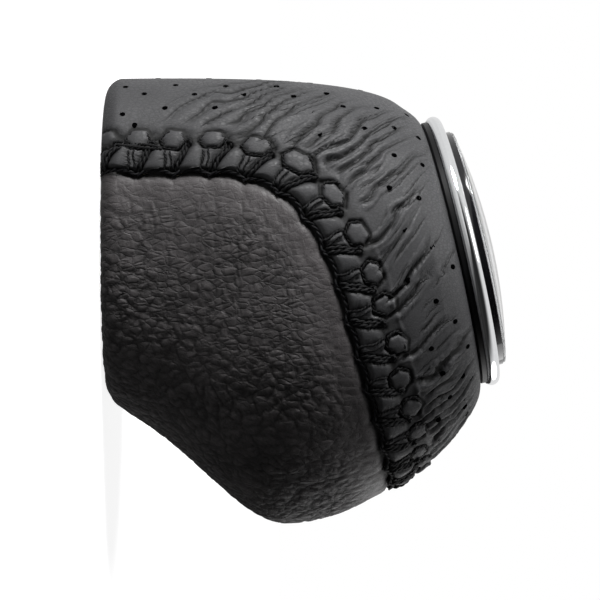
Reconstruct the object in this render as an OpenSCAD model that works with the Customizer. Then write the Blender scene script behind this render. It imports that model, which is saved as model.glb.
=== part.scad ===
// Leather gear shift knob with a tilted chrome-ringed cap.
// The origin is on the lever axis in the plane of the base. +Z points up the lever, +Y to the
// finger bulge at the front, and -Y to the driver. The knob is the same on its left and right.

/* [Body outline] */
// Front to back length of the base
base_depth = 48; // [44:0.5:52]
// Side to side width of the base
base_width = 40; // [36:0.5:44]
// Radius of the leather's turn under the base
base_corner = 2.6; // [2.2:0.1:3.2]
// Width across the belly
belly_width = 52; // [48:0.5:56]
// Distance from the lever axis to the foremost point of the bulge
bulge_reach = 42.2; // [38:0.5:46]
// Height of that foremost point above the base
bulge_height = 26.5; // [24:0.5:29]
// Width across the shoulder, where the leather starts to turn in to the cap
shoulder_width = 47.2; // [45:0.2:49]

/* [Cap] */
// Height of the centre of the cap's seat above the base
cap_height = 51; // [49:0.5:54]
// Distance of that centre in front of the lever axis
cap_offset = 2.1; // [0:0.1:4]
// Lean of the cap towards the driver
cap_tilt = 13; // [8:0.5:18]
// Radius at which the leather passes under the cap
rim_radius = 19.6; // [19.3:0.1:20]
// Diameter of the black carrier's flange
flange_d = 40; // [39.8:0.1:40.4]
// Thickness of that flange
flange_t = 1.3; // [1:0.1:1.8]
// Outside diameter of the chrome ring
ring_d = 41.2; // [40.8:0.2:42.4]
// Thickness of the chrome ring along the cap's axis
ring_t = 2.1; // [1.9:0.1:2.6]
// Diameter of the opening in the chrome ring
ring_bore = 35.9; // [35:0.1:36.4]
// Thickness of the adhesive ring under the pattern disc
adhesive_t = 0.25; // [0.15:0.05:0.4]
// Thickness of the pattern disc
disc_t = 0.9; // [0.7:0.1:1.2]
// Rise of the clear dome at its centre
dome_rise = 1.2; // [0.9:0.1:1.8]
// Height of the straight edge of the clear dome
dome_edge = 0.3; // [0.2:0.05:0.5]

/* [Leather] */
// Thickness of the leather
leather_t = 1.1; // [0.9:0.1:1.2]
// Width of the hem folded under the base
hem_w = 5; // [4:0.5:6]
// Width of the hem tucked under the cap
rim_hem_w = 2.4; // [1.6:0.2:2.6]
// Gap between the two leather edges at the seam
seam_gap = 0.7; // [0.6:0.05:0.9]
// Number of stitches on each side of the knob
stitches = 16; // [13:1:17]
// Height of the leather puckers between the stitches
pucker_h = 0.38; // [0.2:0.02:0.5]
// Length over which the puckers fade out from the seam
pucker_reach = 16; // [10:1:20]
// Diameter of the thread
thread_d = 0.7; // [0.5:0.05:0.7]
// Distance from the seam to the loops that hold the lacing
loop_reach = 5.2; // [4.6:0.1:5.6]

/* [Core and weight] */
// Thickness of the foam under the leather
foam_t = 2.5; // [2.1:0.1:2.9]
// Clearance between the leather and what lies under it
lining_gap = 0.75; // [0.7:0.05:1]
// Thickness of the core's floor flange
floor_flange_t = 2.2; // [1.8:0.1:2.4]
// Depth of the cap carrier's pocket in the core
pocket_depth = 9; // [8.5:0.25:10]
// Outside diameter of the ballast weight
weight_d = 26; // [25:0.25:27]
// Height of the ballast weight
weight_h = 13; // [10:0.5:14]
// Thickness of the base cover
cover_t = 2; // [1.6:0.1:2.4]
// Slip clearance of the hidden rigid pieces
slip = 0.1; // [0.05:0.05:0.15]

/* [Lever socket] */
// Diameter of the socket's bore, the minor diameter of its fine thread
thread_bore = 10.75; // [10:0.05:11.2]
// Outside diameter of the threaded insert
insert_d = 17; // [16:0.5:18]
// Length of the threaded insert
insert_len = 22; // [20:0.5:24]
// Diameter of the insert's foot flange
insert_flange_d = 20; // [19:0.5:21]
// Thickness of the insert's foot flange
insert_flange_t = 2; // [1.6:0.1:2.4]

/* [Hidden] */

// Shares of the wall's height at the bulge and at the shoulder
T_BULGE = 0.5;
T_SHOULDER = 0.88;
// Height that the front wall climbs per unit of t just above the base
front_rise = 0.45 * bulge_height;
CLIMB_RATE = 3 * front_rise / T_BULGE;
T_CORNER = base_corner / CLIMB_RATE;

// Outline points in the plane of symmetry, each [y, z]
cap_out = [cos(cap_tilt), sin(cap_tilt)];
cap_up = [-sin(cap_tilt), cos(cap_tilt)];
cap_seat = [cap_offset, cap_height];
front_rim = cap_seat + rim_radius * cap_out;
rear_rim = cap_seat - rim_radius * cap_out;
front_shoulder = front_rim + rim_radius * (0.314 * cap_out - 0.2245 * cap_up);
rear_shoulder = rear_rim - rim_radius * (0.204 * cap_out + 0.138 * cap_up);
front_base = [0.506 * base_depth, 0];
rear_base = [-base_depth / 2, 0];
bulge = [bulge_reach, bulge_height];

// Where the seam runs: [angle round the body, share of the wall's height]
SEAM_BASE = [108.7, 0];
SEAM_KNEE = [114.9, 0.4];
SEAM_FRONT = [0, 0.697];
KNEE_LEAN = [-31.4, 1];
// Share of the seam, from the front centre, at which it turns down to the base
SEAM_TURN = 0.57;

// Facet counts
PER_STITCH = 3;
SEAM_STEPS = 48;
SEAM_COLUMNS = stitches * PER_STITCH;
HEM_COLUMNS = 8;
ARCH_COLUMNS = 16;
// How far up the wall each row of the perforated leather lies
WALL_ROWS = [0.2, 0.4, 0.6, 0.77, 0.9, 1];
LINING_COLUMNS = 28;
ROUND = 96;

// Fits
lining_t = leather_t + lining_gap;
core_depth = lining_t + foam_t + 2 * slip;
seat_gap = 0.05;

// Heights above the cap's seat
carrier_top = seat_gap + flange_t;
ring_low = carrier_top + seat_gap;
boss_top = ring_low + ring_t - 0.6;
adhesive_low = boss_top + 0.02;
disc_low = adhesive_low + adhesive_t + 0.02;
dome_low = disc_low + disc_t + 0.02;

// Heights above the base
foot_low = leather_t + 2 * slip;
foot_top = foot_low + floor_flange_t;
cover_low = 0.2;
cover_top = cover_low + cover_t;
weight_low = insert_len + 1.4;
weight_top = weight_low + weight_h;

foot_flange_top = cover_top + insert_flange_t;

// Plan sizes
insert_r = insert_d / 2;
band_rise = 0.8;
band_h = 3.4;
weight_r = weight_d / 2;
end_bore_r = 6.5;
weight_screw_d = 2.5;
weight_screw_l = 8;
WEIGHT_SCREW_X = insert_r + 0.76 * weight_screw_d;
cover_margin = 0.3;
cover_half_x = base_width / 2 - base_corner - hem_w - cover_margin;
cover_half_y = base_depth / 2 - base_corner - hem_w - cover_margin;
cover_hole_r = insert_r - band_rise + 2 * slip;
// The cover's screws stand midway between its centre hole and its edge
BASE_SCREW_Y = (cover_hole_r + cover_half_y) / 2;
base_head_d = 3;
base_shank_d = 1.7;
base_head_h = 1.1;
base_screw_l = 7;
skirt_wall = 2;
skirt_r = rim_radius - 2 * skirt_wall;
hook = 0.6;
// The core's foot stands in from the leather, and its head fills the leather's top
foot_inset = 3.4;
head_t = 2.4;
head_margin = 0.8;

leather = [0.17, 0.17, 0.18];
thread_black = [0.05, 0.05, 0.06];

// General maths

function mix(a, b, k) = a + (b - a) * k;
function clamp01(k) = max(0, min(1, k));
function signed_power(v, e) = sign(v) * pow(abs(v), e);
function bezier(p, k) =
    pow(1 - k, 3) * p[0] + 3 * k * pow(1 - k, 2) * p[1]
    + 3 * k * k * (1 - k) * p[2] + pow(k, 3) * p[3];
function unit(v) = v / norm(v);
function flat(lists) = [for (l = lists) each l];
function mirrored(p) = [-p[0], p[1], p[2]];

// The body's surface. Angle th is 0 at the front, 90 on the right side and 180 at the rear.
// Height t is 0 at the base and 1 at the rim under the cap.

function front_wall(t) =
    t < T_BULGE
    ? bezier([front_base, front_base + [0.4 * front_rise, front_rise],
        bulge - [0, 0.26 * bulge_height], bulge], t / T_BULGE)
    : t < T_SHOULDER
    ? bezier([bulge, bulge + [0, 0.36 * bulge_height],
        front_shoulder + 0.35 * bulge_height * [0.8, -0.6], front_shoulder],
        (t - T_BULGE) / (T_SHOULDER - T_BULGE))
    : bezier([front_shoulder, front_shoulder - 0.11 * bulge_height * [0.8, -0.6],
        front_rim + 0.128 * rim_radius * cap_out, front_rim],
        (t - T_SHOULDER) / (1 - T_SHOULDER));

function rear_wall(t) =
    t < T_SHOULDER
    ? bezier([rear_base, rear_base + cap_height * [-0.006, 0.39],
        rear_shoulder - 0.118 * cap_height * [0.6, 0.8], rear_shoulder], t / T_SHOULDER)
    : bezier([rear_shoulder, rear_shoulder + 0.033 * cap_height * [0.6, 0.8],
        rear_rim - 0.077 * rim_radius * cap_out, rear_rim],
        (t - T_SHOULDER) / (1 - T_SHOULDER));

function half_width(t) =
    t < T_BULGE
    ? bezier([0.5 * base_width, 0.515 * base_width, 0.4885 * belly_width, 0.5 * belly_width],
        t / T_BULGE)
    : t < T_SHOULDER
    ? bezier([0.5 * belly_width, 0.5077 * belly_width, 0.534 * shoulder_width,
        0.5 * shoulder_width], (t - T_BULGE) / (T_SHOULDER - T_BULGE))
    : bezier([0.5 * shoulder_width, 0.479 * shoulder_width, 1.097 * rim_radius, rim_radius],
        (t - T_SHOULDER) / (1 - T_SHOULDER));

// A point of the cross-section at height t, drawn in by inset. The base is a soft oval,
// the belly an egg that narrows to the front, and the rim a true circle.
function section(th, t, inset = 0) =
    let (f = front_wall(t), r = rear_wall(t), mid = (f + r) / 2, half = (f - r) / 2,
        power = 2 / mix(2.5, 2, clamp01(t)),
        along = signed_power(cos(th), power) * (norm(half) - inset),
        across = signed_power(sin(th), power) * (half_width(t) - inset),
        egg = 1 - 0.13 * sin(180 * t) * cos(th),
        yz = mid + along * unit(half))
    [across * egg, yz[0], yz[1]];

// Path coordinate q follows a wall from the hem's edge under the base (-2) through the
// base corner (-1 to 0) and up the wall (0 to 1) to the edge of the hem under the cap (2).
function outline(th, q) =
    q < -1 ? section(th, 0, base_corner - hem_w * (q + 1))
    : q < 0 ? section(th, T_CORNER * (1 - sin(-90 * q)), base_corner * (1 - cos(90 * q)))
    : q < 1 ? section(th, mix(T_CORNER, 1, q))
    : section(th, 1, rim_hem_w * (q - 1));

function outward(th, q) =
    q <= -1 ? [0, 0, -1]
    : q > 1 ? [0, cap_up[0], cap_up[1]]
    : unit(cross(outline(th, min(1, q + 0.01)) - outline(th, max(-1, q - 0.01)),
        outline(th + 0.5, q) - outline(th - 0.5, q)));

function skin(th, q, depth) = outline(th, q) - depth * outward(th, q);

// The seam, from the front centre (share 0) round the right side to the base (share 1)

function seam_line(u) =
    u < 0.5
    ? bezier([SEAM_FRONT, SEAM_FRONT + [61.8, 0], SEAM_KNEE + 0.192 * KNEE_LEAN, SEAM_KNEE],
        2 * u)
    : bezier([SEAM_KNEE, SEAM_KNEE - 0.159 * KNEE_LEAN, SEAM_BASE + [3.7, 0.162],
        SEAM_BASE], 2 * u - 1);

seam_points = [for (i = [0:SEAM_STEPS]) let (s = seam_line(i / SEAM_STEPS))
    outline(s[0], s[1])];
seam_sums = [for (i = 0, total = 0; i <= SEAM_STEPS; i = i + 1,
    total = total + (i <= SEAM_STEPS ? norm(seam_points[i] - seam_points[i - 1]) : 0)) total];
seam_length = seam_sums[SEAM_STEPS];
seam_table = [for (i = [0:SEAM_STEPS]) [seam_sums[i] / seam_length, i / SEAM_STEPS]];
// Seam position at an even share of its length
function seam(share) = seam_line(lookup(share, seam_table));
function seam_way(share) =
    let (a = seam(max(0, share - 0.01)), b = seam(min(1, share + 0.01)))
    unit(outline(b[0], b[1]) - outline(a[0], a[1]));

// The place [th, q] that lies off mm from the seam, positive towards the perforated side
function beside_seam(share, off) =
    let (s = seam(share), p = outline(s[0], s[1]),
        side = unit(cross(outward(s[0], s[1]), seam_way(share))),
        step_th = outline(s[0] + 1, s[1]) - p,
        step_q = (outline(s[0], s[1] + 0.01) - p) * 100,
        e_th = unit(step_th), e_q = unit(step_q), c = e_th * e_q,
        k_th = (side * e_th - c * (side * e_q)) / (1 - c * c),
        k_q = (side * e_q - c * (side * e_th)) / (1 - c * c))
    s - off * [k_th / norm(step_th), k_q / norm(step_q)];

// Grid solids

// A closed ring of columns, each a closed loop of points
function loop_faces(n, m) = [for (i = [0:n - 1], j = [0:m - 1])
    let (a = i * m + j, b = ((i + 1) % n) * m + j, c = ((i + 1) % n) * m + (j + 1) % m,
        d = i * m + (j + 1) % m)
    each [[a, b, c], [a, c, d]]];
// An open row of closed loops with a fan of faces on each end
function tube_faces(n, m) = concat(
    [for (i = [0:n - 2], j = [0:m - 1])
        let (a = i * m + j, b = (i + 1) * m + j, c = (i + 1) * m + (j + 1) % m,
            d = i * m + (j + 1) % m)
        each [[a, b, c], [a, c, d]]],
    [for (j = [1:m - 2]) each [[0, j, j + 1],
        [(n - 1) * m, (n - 1) * m + j + 1, (n - 1) * m + j]]]);
// The same with ends that join the outer run of each end loop to its inner run
function sheet_faces(n, outer, inner) = let (m = outer + inner, z = (n - 1) * m) concat(
    [for (i = [0:n - 2], j = [0:m - 1])
        let (a = i * m + j, b = (i + 1) * m + j, c = (i + 1) * m + (j + 1) % m,
            d = i * m + (j + 1) % m)
        each [[a, c, b], [a, d, c]]],
    [for (e = strip(outer, inner)) [e[2], e[1], e[0]]],
    [for (e = strip(outer, inner)) [z + e[0], z + e[1], z + e[2]]]);
// Triangles between points 0 to outer - 1 and the inner run that comes back beside them
function strip(outer, inner) = [for (j = [0:outer - 2])
    let (at = outer + inner - 1 - round(j * (inner - 1) / (outer - 1)),
        next = outer + inner - 1 - round((j + 1) * (inner - 1) / (outer - 1)))
    each next == at ? [[j, j + 1, at]] : [[j, j + 1, at], [j + 1, next, at]]];

// A tube along a list of [centre, outward] stations, with four corners
function tube_ring(stations, i, r, closed) =
    let (n = len(stations), here = stations[i],
        a = stations[closed ? (i + n - 1) % n : max(0, i - 1)][0],
        b = stations[closed ? (i + 1) % n : min(n - 1, i + 1)][0],
        side = unit(cross(b - a, here[1])), up = unit(cross(side, b - a)))
    [for (c = [[1, 1], [1, -1], [-1, -1], [-1, 1]]) here[0] + r * (c[0] * side + c[1] * up)];
module tube(stations, d, closed = false) {
    n = len(stations);
    points = flat([for (i = [0:n - 1]) tube_ring(stations, i, d / 2 * 0.8, closed)]);
    polyhedron(points, closed ? loop_faces(n, 4) : tube_faces(n, 4));
}

// Perforated leather: a ring of columns. Each leans back from the seam, or from the hem
// behind it, up to the hem under the cap. The puckers lean with them.

function rim_angle(share) = bezier([0, 50, 158, 166], share);

// Distances of the first rows from the seam: its edge, the lacing's pads and the loops' pads
NEAR_SEAM = concat([0.5 * seam_gap, seam_gap], loop_reach * [0.38, 0.69, 1, 1.31]);
// Outer rows that have a row behind them on the leather's inner face
BACKED = [12, 11, 10, 9, 8, 7, 6, 5, 4, 2, 0];

function pucker(share, mm) =
    let (wave = 0.5 - 0.5 * cos(360 * share * stitches),
        fade = clamp01(1.15 - mm / pucker_reach), at_base = clamp01((1 - share) * stitches / 4))
    pucker_h * fade * at_base * (2 * wave - 1);

function closed_column(path, depths) = concat(
    [for (k = [0:len(path) - 1]) skin(path[k][0], path[k][1], depths[k])],
    [for (k = BACKED) skin(path[k][0], path[k][1], leather_t)]);

// A column that starts on the seam
function seam_column(share) =
    let (foot = beside_seam(share, seam_gap / 2), top = [rim_angle(share), 1],
        ahead = mix(foot, top, 0.02),
        rate = norm(cross((outline(ahead[0], ahead[1]) - outline(foot[0], foot[1])) * 50,
            seam_way(share))),
        squeeze = mix(0.3, 1, clamp01((1 - share) * stitches / 4)),
        near = [for (mm = NEAR_SEAM) squeeze * (mm - NEAR_SEAM[0]) / rate],
        shares = concat(near, [for (w = WALL_ROWS) mix(near[5], 1, w)]),
        path = concat([for (w = shares) mix(foot, top, w)], [[top[0], 2]]),
        depths = concat([0.6 * leather_t, 0.1],
            [for (k = [2:11]) -pucker(share, shares[k] * rate / squeeze)],
            [0]))
    closed_column(path, [for (k = [0:12]) k >= 11 ? 0 : depths[k]]);

// A column that starts at q on the seam's tail round the base corner, or on the hem's edge
function climb(q) = q < -1 ? [q, (q - 1) / 2, -1, -2 / 3, -1 / 3, 0]
    : [for (k = [0:5]) q * (1 - k / 5)];
function hem_column(th, q, top, turned) =
    let (rise = climb(q),
        path = concat([for (k = [0:5]) [th + turned * k / 5, rise[k]]],
            [for (w = WALL_ROWS) mix([th + turned, 0], [top, 1], w)],
            [[top, 2]]))
    closed_column(path, [for (k = [0:12]) 0]);

TAIL = [-0.5, -1, -1.5, -2];
// The base's edge is this long per degree there
tail_start = SEAM_BASE[0] + seam_gap / 2 / (base_width / 111);

module perforated_leather() {
    right = concat([for (j = [0:SEAM_COLUMNS]) seam_column(j / SEAM_COLUMNS)],
        [for (k = [1:4]) hem_column(tail_start, TAIL[k - 1], mix(rim_angle(1), 180,
            k / (HEM_COLUMNS + 4)), 1.5 + 1.2 * k)],
        [for (k = [1:HEM_COLUMNS]) hem_column(mix(tail_start, 180, k / HEM_COLUMNS), -2,
            mix(rim_angle(1), 180, (k + 4) / (HEM_COLUMNS + 4)), 3 * (1 - k / HEM_COLUMNS))]);
    n = len(right);
    left = [for (j = [n - 2:-1:1]) [for (p = right[j]) mirrored(p)]];
    columns = concat(right, left);
    color(leather)
        polyhedron(flat(columns), loop_faces(len(columns), len(right[0])));
}

// Front leather: a sheet with the seam on three sides and the hem on the fourth

FRONT_ROWS = [-2, -1, -2 / 3, -1 / 3, 0, 0.11, 0.22, 0.33, 0.44, 0.55, 0.66, 0.77, 0.88, 0.96, 1];
FRONT_BACKED = [14, 12, 10, 8, 6, 4, 1, 0];
turn = seam(SEAM_TURN);
side_table = [for (i = [12:-1:0]) let (s = seam(mix(SEAM_TURN, 1, i / 12)))
    [s[1] / turn[1], s[0]]];
arch_table = [for (i = [16:-1:0]) let (s = seam(SEAM_TURN * i / 16)) [-s[0], s[1]]];
function front_place(across, k) =
    let (side = lookup(max(0, k), side_table) - seam_gap / 2 / (belly_width / 130),
        arch = lookup(-abs(across) * turn[0], arch_table) - seam_gap / 2 / (1.3 * cap_height))
    [across * side, k < 0 ? k : k * arch];

module front_leather() {
    n = 2 * ARCH_COLUMNS + 1;
    last = len(FRONT_ROWS) - 1;
    function depth(i, j) = i == 0 || i == n - 1 || j == last ? 0.4 * leather_t : 0;
    columns = [for (i = [0:n - 1]) let (across = 1 - i / ARCH_COLUMNS) concat(
        [for (j = [0:last]) let (p = front_place(across, FRONT_ROWS[j]))
            skin(p[0], p[1], depth(i, j))],
        [for (j = FRONT_BACKED) let (p = front_place(across, FRONT_ROWS[j]))
            skin(p[0], p[1], leather_t)])];
    color(leather)
        polyhedron(flat(columns), sheet_faces(n, last + 1, len(FRONT_BACKED)));
}

// Threads. All of them lie over the puckers.

thread_lift = pucker_h + 0.61 * thread_d;
function over_seam(share, mm, lift) =
    let (p = beside_seam(abs(share), mm), n = outward(p[0], p[1]),
        c = outline(p[0], p[1]) + lift * n)
    share < 0 ? [mirrored(c), mirrored(n)] : [c, n];

// The lacing runs between the seam and the loops, two strands to a stitch
module lacing_thread() {
    steps = [for (i = [-stitches + 1:stitches - 1]) i];
    stations = [for (i = steps) each [
        over_seam((i - 0.35) / stitches, 0.69 * loop_reach, thread_lift),
        over_seam((i - 0.1) / stitches, loop_reach / 3, thread_lift),
        over_seam((i + 0.15) / stitches, 0, thread_lift),
        over_seam((i + 0.4) / stitches, loop_reach / 3, thread_lift)]];
    color(thread_black)
        tube(stations, thread_d);
}

// Edge stitches of the perforated leather: a row of six-sided loops
LOOP = [[0.62, 0], [0.4, 1], [-0.4, 1], [-0.62, 0], [-0.4, -1], [0.4, -1]] / 2;
LOOP_W = 3.2;
LOOP_H = 2;
module rear_edge_thread() {
    color(thread_black)
        for (side = [-1, 1], i = [0:stitches - 1])
            tube([for (c = LOOP) over_seam(side * (i + 0.5 + c[0] * LOOP_W / 4) / stitches,
                loop_reach + c[1] * LOOP_H, thread_lift)], thread_d, true);
}

// Edge stitches of the front leather: a cord that lies in the join
module front_edge_thread() {
    last = 2 * stitches;
    color(thread_black)
        tube([for (i = [-last:last]) over_seam(i / last, 0, -thread_d / 7)], thread_d * 0.9);
}

// Foam and core, which follow the leather inwards

function depth_ring(q, depth) = [for (j = [0:LINING_COLUMNS - 1])
    skin(360 * j / LINING_COLUMNS, q, depth)];
function flat_ring(z, inset) = [for (j = [0:LINING_COLUMNS - 1])
    let (p = section(360 * j / LINING_COLUMNS, z / CLIMB_RATE, inset)) [p[0], p[1], z]];
function cap_ring(up, r) = [for (j = [0:LINING_COLUMNS - 1])
    let (a = 360 * j / LINING_COLUMNS, yz = cap_seat + up * cap_up + r * cos(a) * cap_out)
    [r * sin(a), yz[0], yz[1]]];
function columns_of(rings) = [for (j = [0:LINING_COLUMNS - 1]) [for (r = rings) r[j]]];

LINING_STATIONS = [0.03, 0.16, 0.3, 0.44, 0.58, 0.7, 0.8];

// The core's skin: a foot, the foam's seat and a head under the cap
head_top = -leather_t - slip;
head_low = head_top - head_t;
CORE_RINGS = concat([flat_ring(foot_low, foot_inset), flat_ring(foot_top, foot_inset),
    flat_ring(foot_top, core_depth + 2 * slip)],
    [for (q = LINING_STATIONS) depth_ring(q, core_depth)],
    [cap_ring(head_low, skirt_r + skirt_wall), cap_ring(head_low, rim_radius - head_margin),
    cap_ring(head_top, rim_radius - head_margin)]);

module foam_padding() {
    rings = concat([for (q = LINING_STATIONS) depth_ring(q, lining_t)],
        [for (i = [len(LINING_STATIONS) - 1:-1:0])
            depth_ring(LINING_STATIONS[i], lining_t + foam_t)]);
    color("khaki")
        polyhedron(flat(columns_of(rings)), loop_faces(LINING_COLUMNS, len(rings)));
}

module on_cap() {
    translate([0, cap_seat[0], cap_seat[1]])
        rotate([cap_tilt, 0, 0])
            children();
}

// Pocket and catches of the cap carrier
hook_h = 2 * hook;
hook_low = -pocket_depth + 2.5 * hook;

module core() {
    n = len(CORE_RINGS);
    m = LINING_COLUMNS;
    faces = concat([for (i = [0:n - 2], j = [0:m - 1])
        let (a = i * m + j, b = i * m + (j + 1) % m, c = (i + 1) * m + (j + 1) % m,
            d = (i + 1) * m + j)
        each [[a, b, c], [a, c, d]]],
        [[for (j = [m - 1:-1:0]) j]], [[for (j = [0:m - 1]) (n - 1) * m + j]]);
    color("dimgray")
        difference() {
            polyhedron(flat(CORE_RINGS), faces);
            // Socket of the insert and its foot flange
            translate([0, 0, -1])
                cylinder(r = insert_r + slip, h = insert_len + 1 + slip, $fn = ROUND);
            translate([0, 0, -1])
                cylinder(d = insert_flange_d + 2 * slip, h = foot_flange_top + 1 + slip,
                    $fn = ROUND);
            // Recess of the base cover
            cover_shape(slip, foot_low - 1, cover_top);
            // Way through to the chamber of the weight
            cylinder(r = end_bore_r, h = weight_low + 1, $fn = ROUND);
            translate([0, 0, weight_low])
                cylinder(r = weight_r + slip, h = 40, $fn = ROUND);
            on_cap() {
                translate([0, 0, -pocket_depth])
                    cylinder(r = skirt_r + 0.2, h = 20, $fn = ROUND);
                translate([0, 0, hook_low - 0.2])
                    cylinder(r = skirt_r + hook + 0.2, h = hook_h + 0.4, $fn = ROUND);
            }
            for (x = [-1, 1])
                translate([x * WEIGHT_SCREW_X, 0, weight_low - weight_screw_l])
                    cylinder(d = weight_screw_d + slip, h = weight_screw_l + 2, $fn = 32);
            at_base_screws()
                cylinder(d = base_shank_d + slip, h = base_screw_l + 3, $fn = 32);
        }
}

module at_base_screws() {
    for (y = [-1, 1])
        translate([0, y * BASE_SCREW_Y, 0])
            children();
}

// A soft oval plate for the underside, between two heights
module cover_shape(grow, low, top) {
    translate([0, 0, low])
        linear_extrude(top - low)
            polygon([for (a = [0:7.5:352.5])
                [(cover_half_x + grow) * signed_power(cos(a), 0.85),
                (cover_half_y + grow) * signed_power(sin(a), 0.85)]]);
}

// Steel insert with a smooth bore at the minor diameter of its fine thread
module threaded_insert() {
    color("silver")
        difference() {
            union() {
                cylinder(r = insert_r - band_rise, h = insert_len, $fn = ROUND);
                // Foot flange, held up by the base cover
                translate([0, 0, cover_top])
                    cylinder(d = insert_flange_d, h = insert_flange_t, $fn = ROUND);
                // Three holding bands
                for (k = [0:2])
                    translate([0, 0, mix(foot_flange_top + 1.6, insert_len - 1 - band_h, k / 2)])
                        cylinder(r = insert_r, h = band_h, $fn = ROUND);
            }
            translate([0, 0, -1])
                cylinder(d = thread_bore, h = insert_len + 2, $fn = ROUND);
            // Ways past the cover's screws
            at_base_screws()
                cylinder(d = base_shank_d + 3 * slip, h = base_screw_l + 3, $fn = 32);
        }
}

// Steel slug that gives the knob its heft, open in the middle for the lever's end
module ballast_weight() {
    color("slategray")
        translate([0, 0, weight_low])
            difference() {
                cylinder(r = weight_r, h = weight_h, $fn = ROUND);
                translate([0, 0, -1])
                    cylinder(r = end_bore_r, h = weight_h + 2, $fn = ROUND);
                for (x = [-1, 1])
                    translate([x * WEIGHT_SCREW_X, 0, -1])
                        cylinder(d = weight_screw_d + 3 * slip, h = weight_h + 2, $fn = 32);
            }
}

// A pan-head screw that points down from the origin
module pan_screw(head_d, head_h, shank_d, shank_l) {
    difference() {
        union() {
            cylinder(d = head_d, h = head_h, $fn = 48);
            translate([0, 0, -shank_l])
                cylinder(d = shank_d, h = shank_l + 0.1, $fn = 32);
        }
        // Cross recess
        for (a = [0, 90])
            rotate([0, 0, a])
                translate([-head_d * 0.28, -head_d * 0.07, head_h / 2])
                    cube([head_d * 0.56, head_d * 0.14, head_h]);
    }
}

module weight_screws() {
    color("gray")
        for (x = [-1, 1])
            translate([x * WEIGHT_SCREW_X, 0, weight_top])
                pan_screw(1.76 * weight_screw_d, 0.68 * weight_screw_d, weight_screw_d,
                    weight_h + weight_screw_l - 1);
}

// Cover of the underside, which holds the insert up in the core
module base_cover() {
    color("black")
        difference() {
            cover_shape(0, cover_low, cover_top);
            translate([0, 0, -1])
                cylinder(r = cover_hole_r, h = cover_top + 2, $fn = ROUND);
            at_base_screws() {
                cylinder(d = base_shank_d + slip, h = cover_top + 1, $fn = 32);
                cylinder(d = base_head_d + 3 * slip, h = cover_low + base_head_h, $fn = 48);
            }
        }
}

module base_screws() {
    color("gray")
        at_base_screws()
            translate([0, 0, cover_low + base_head_h])
                rotate([180, 0, 0])
                    pan_screw(base_head_d, base_head_h, base_shank_d, base_screw_l);
}

// Cap, stacked along its own tilted axis

// Black carrier: a flange on the leather, a boss in the ring and a skirt with four catches
module cap_carrier() {
    color([0.06, 0.06, 0.06])
        on_cap() {
            rotate_extrude($fn = ROUND)
                polygon([[skirt_r - skirt_wall, hook_low], [skirt_r, hook_low],
                    [skirt_r, seat_gap], [flange_d / 2 - 0.3, seat_gap],
                    [flange_d / 2, seat_gap + 0.3], [flange_d / 2, carrier_top - 0.3],
                    [flange_d / 2 - 0.3, carrier_top], [ring_bore / 2 - 0.3, carrier_top],
                    [ring_bore / 2 - 0.3, boss_top - 0.3], [ring_bore / 2 - 0.6, boss_top],
                    [0, boss_top], [0, boss_top - 2], [skirt_r - skirt_wall, boss_top - 3]]);
            for (a = [45:90:315])
                rotate([0, 0, a])
                    rotate_extrude(angle = 24, $fn = ROUND)
                        polygon([[skirt_r - 0.4, hook_low], [skirt_r, hook_low],
                            [skirt_r + hook, hook_low + 0.9], [skirt_r + hook, hook_low + hook_h],
                            [skirt_r - 0.4, hook_low + hook_h]]);
        }
}

// Chrome ring with a rounded rim that stands a little proud of the carrier's flange
module chrome_ring() {
    outer = ring_d / 2;
    inner = ring_bore / 2;
    lip = ring_t * 0.45;
    color("gainsboro")
        on_cap()
            translate([0, 0, ring_low])
                rotate_extrude($fn = ROUND)
                    polygon(concat([[inner, 0], [outer - lip, 0]],
                        [for (a = [-72:18:72])
                            [outer - lip + lip * cos(a), ring_t / 2 + ring_t / 2 * sin(a)]],
                        [[outer - lip, ring_t], [inner + 0.4, ring_t], [inner, ring_t - 0.4]]));
}

module adhesive_ring() {
    color("white")
        on_cap()
            translate([0, 0, adhesive_low])
                difference() {
                    cylinder(r = ring_bore / 2 - 0.9, h = adhesive_t, $fn = ROUND);
                    translate([0, 0, -1])
                        cylinder(r = ring_bore / 2 - 3.6, h = adhesive_t + 2, $fn = ROUND);
                }
}

module pattern_disc() {
    color([0.04, 0.04, 0.04])
        on_cap()
            translate([0, 0, disc_low])
                cylinder(r = ring_bore / 2 - 0.1, h = disc_t, $fn = ROUND);
}

// Clear lens: a shallow spherical cap on a short straight edge
module dome_lens() {
    r = ring_bore / 2 - 0.3;
    ball = (r * r + dome_rise * dome_rise) / (2 * dome_rise);
    edge_angle = asin(r / ball);
    color([0.75, 0.78, 0.8, 0.5])
        on_cap()
            translate([0, 0, dome_low])
                rotate_extrude($fn = ROUND)
                    polygon(concat([[0, 0], [r, 0]], [for (k = [10:-1:0])
                        [ball * sin(edge_angle * k / 10), dome_edge + dome_rise
                        - ball * (1 - cos(edge_angle * k / 10))]]));
}

perforated_leather();
front_leather();
lacing_thread();
rear_edge_thread();
front_edge_thread();
foam_padding();
core();
threaded_insert();
ballast_weight();
weight_screws();
base_cover();
base_screws();
cap_carrier();
chrome_ring();
adhesive_ring();
pattern_disc();
dome_lens();
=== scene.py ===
"""Leather gear shift knob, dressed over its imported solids.

Lengths are worked out in millimetres and turned into metres when a mesh is made. The knob
stands on its base with +Z up the lever and +Y to the front.
"""

import math

import bmesh
import bpy
import numpy as np
from mathutils import Matrix, Vector


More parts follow.
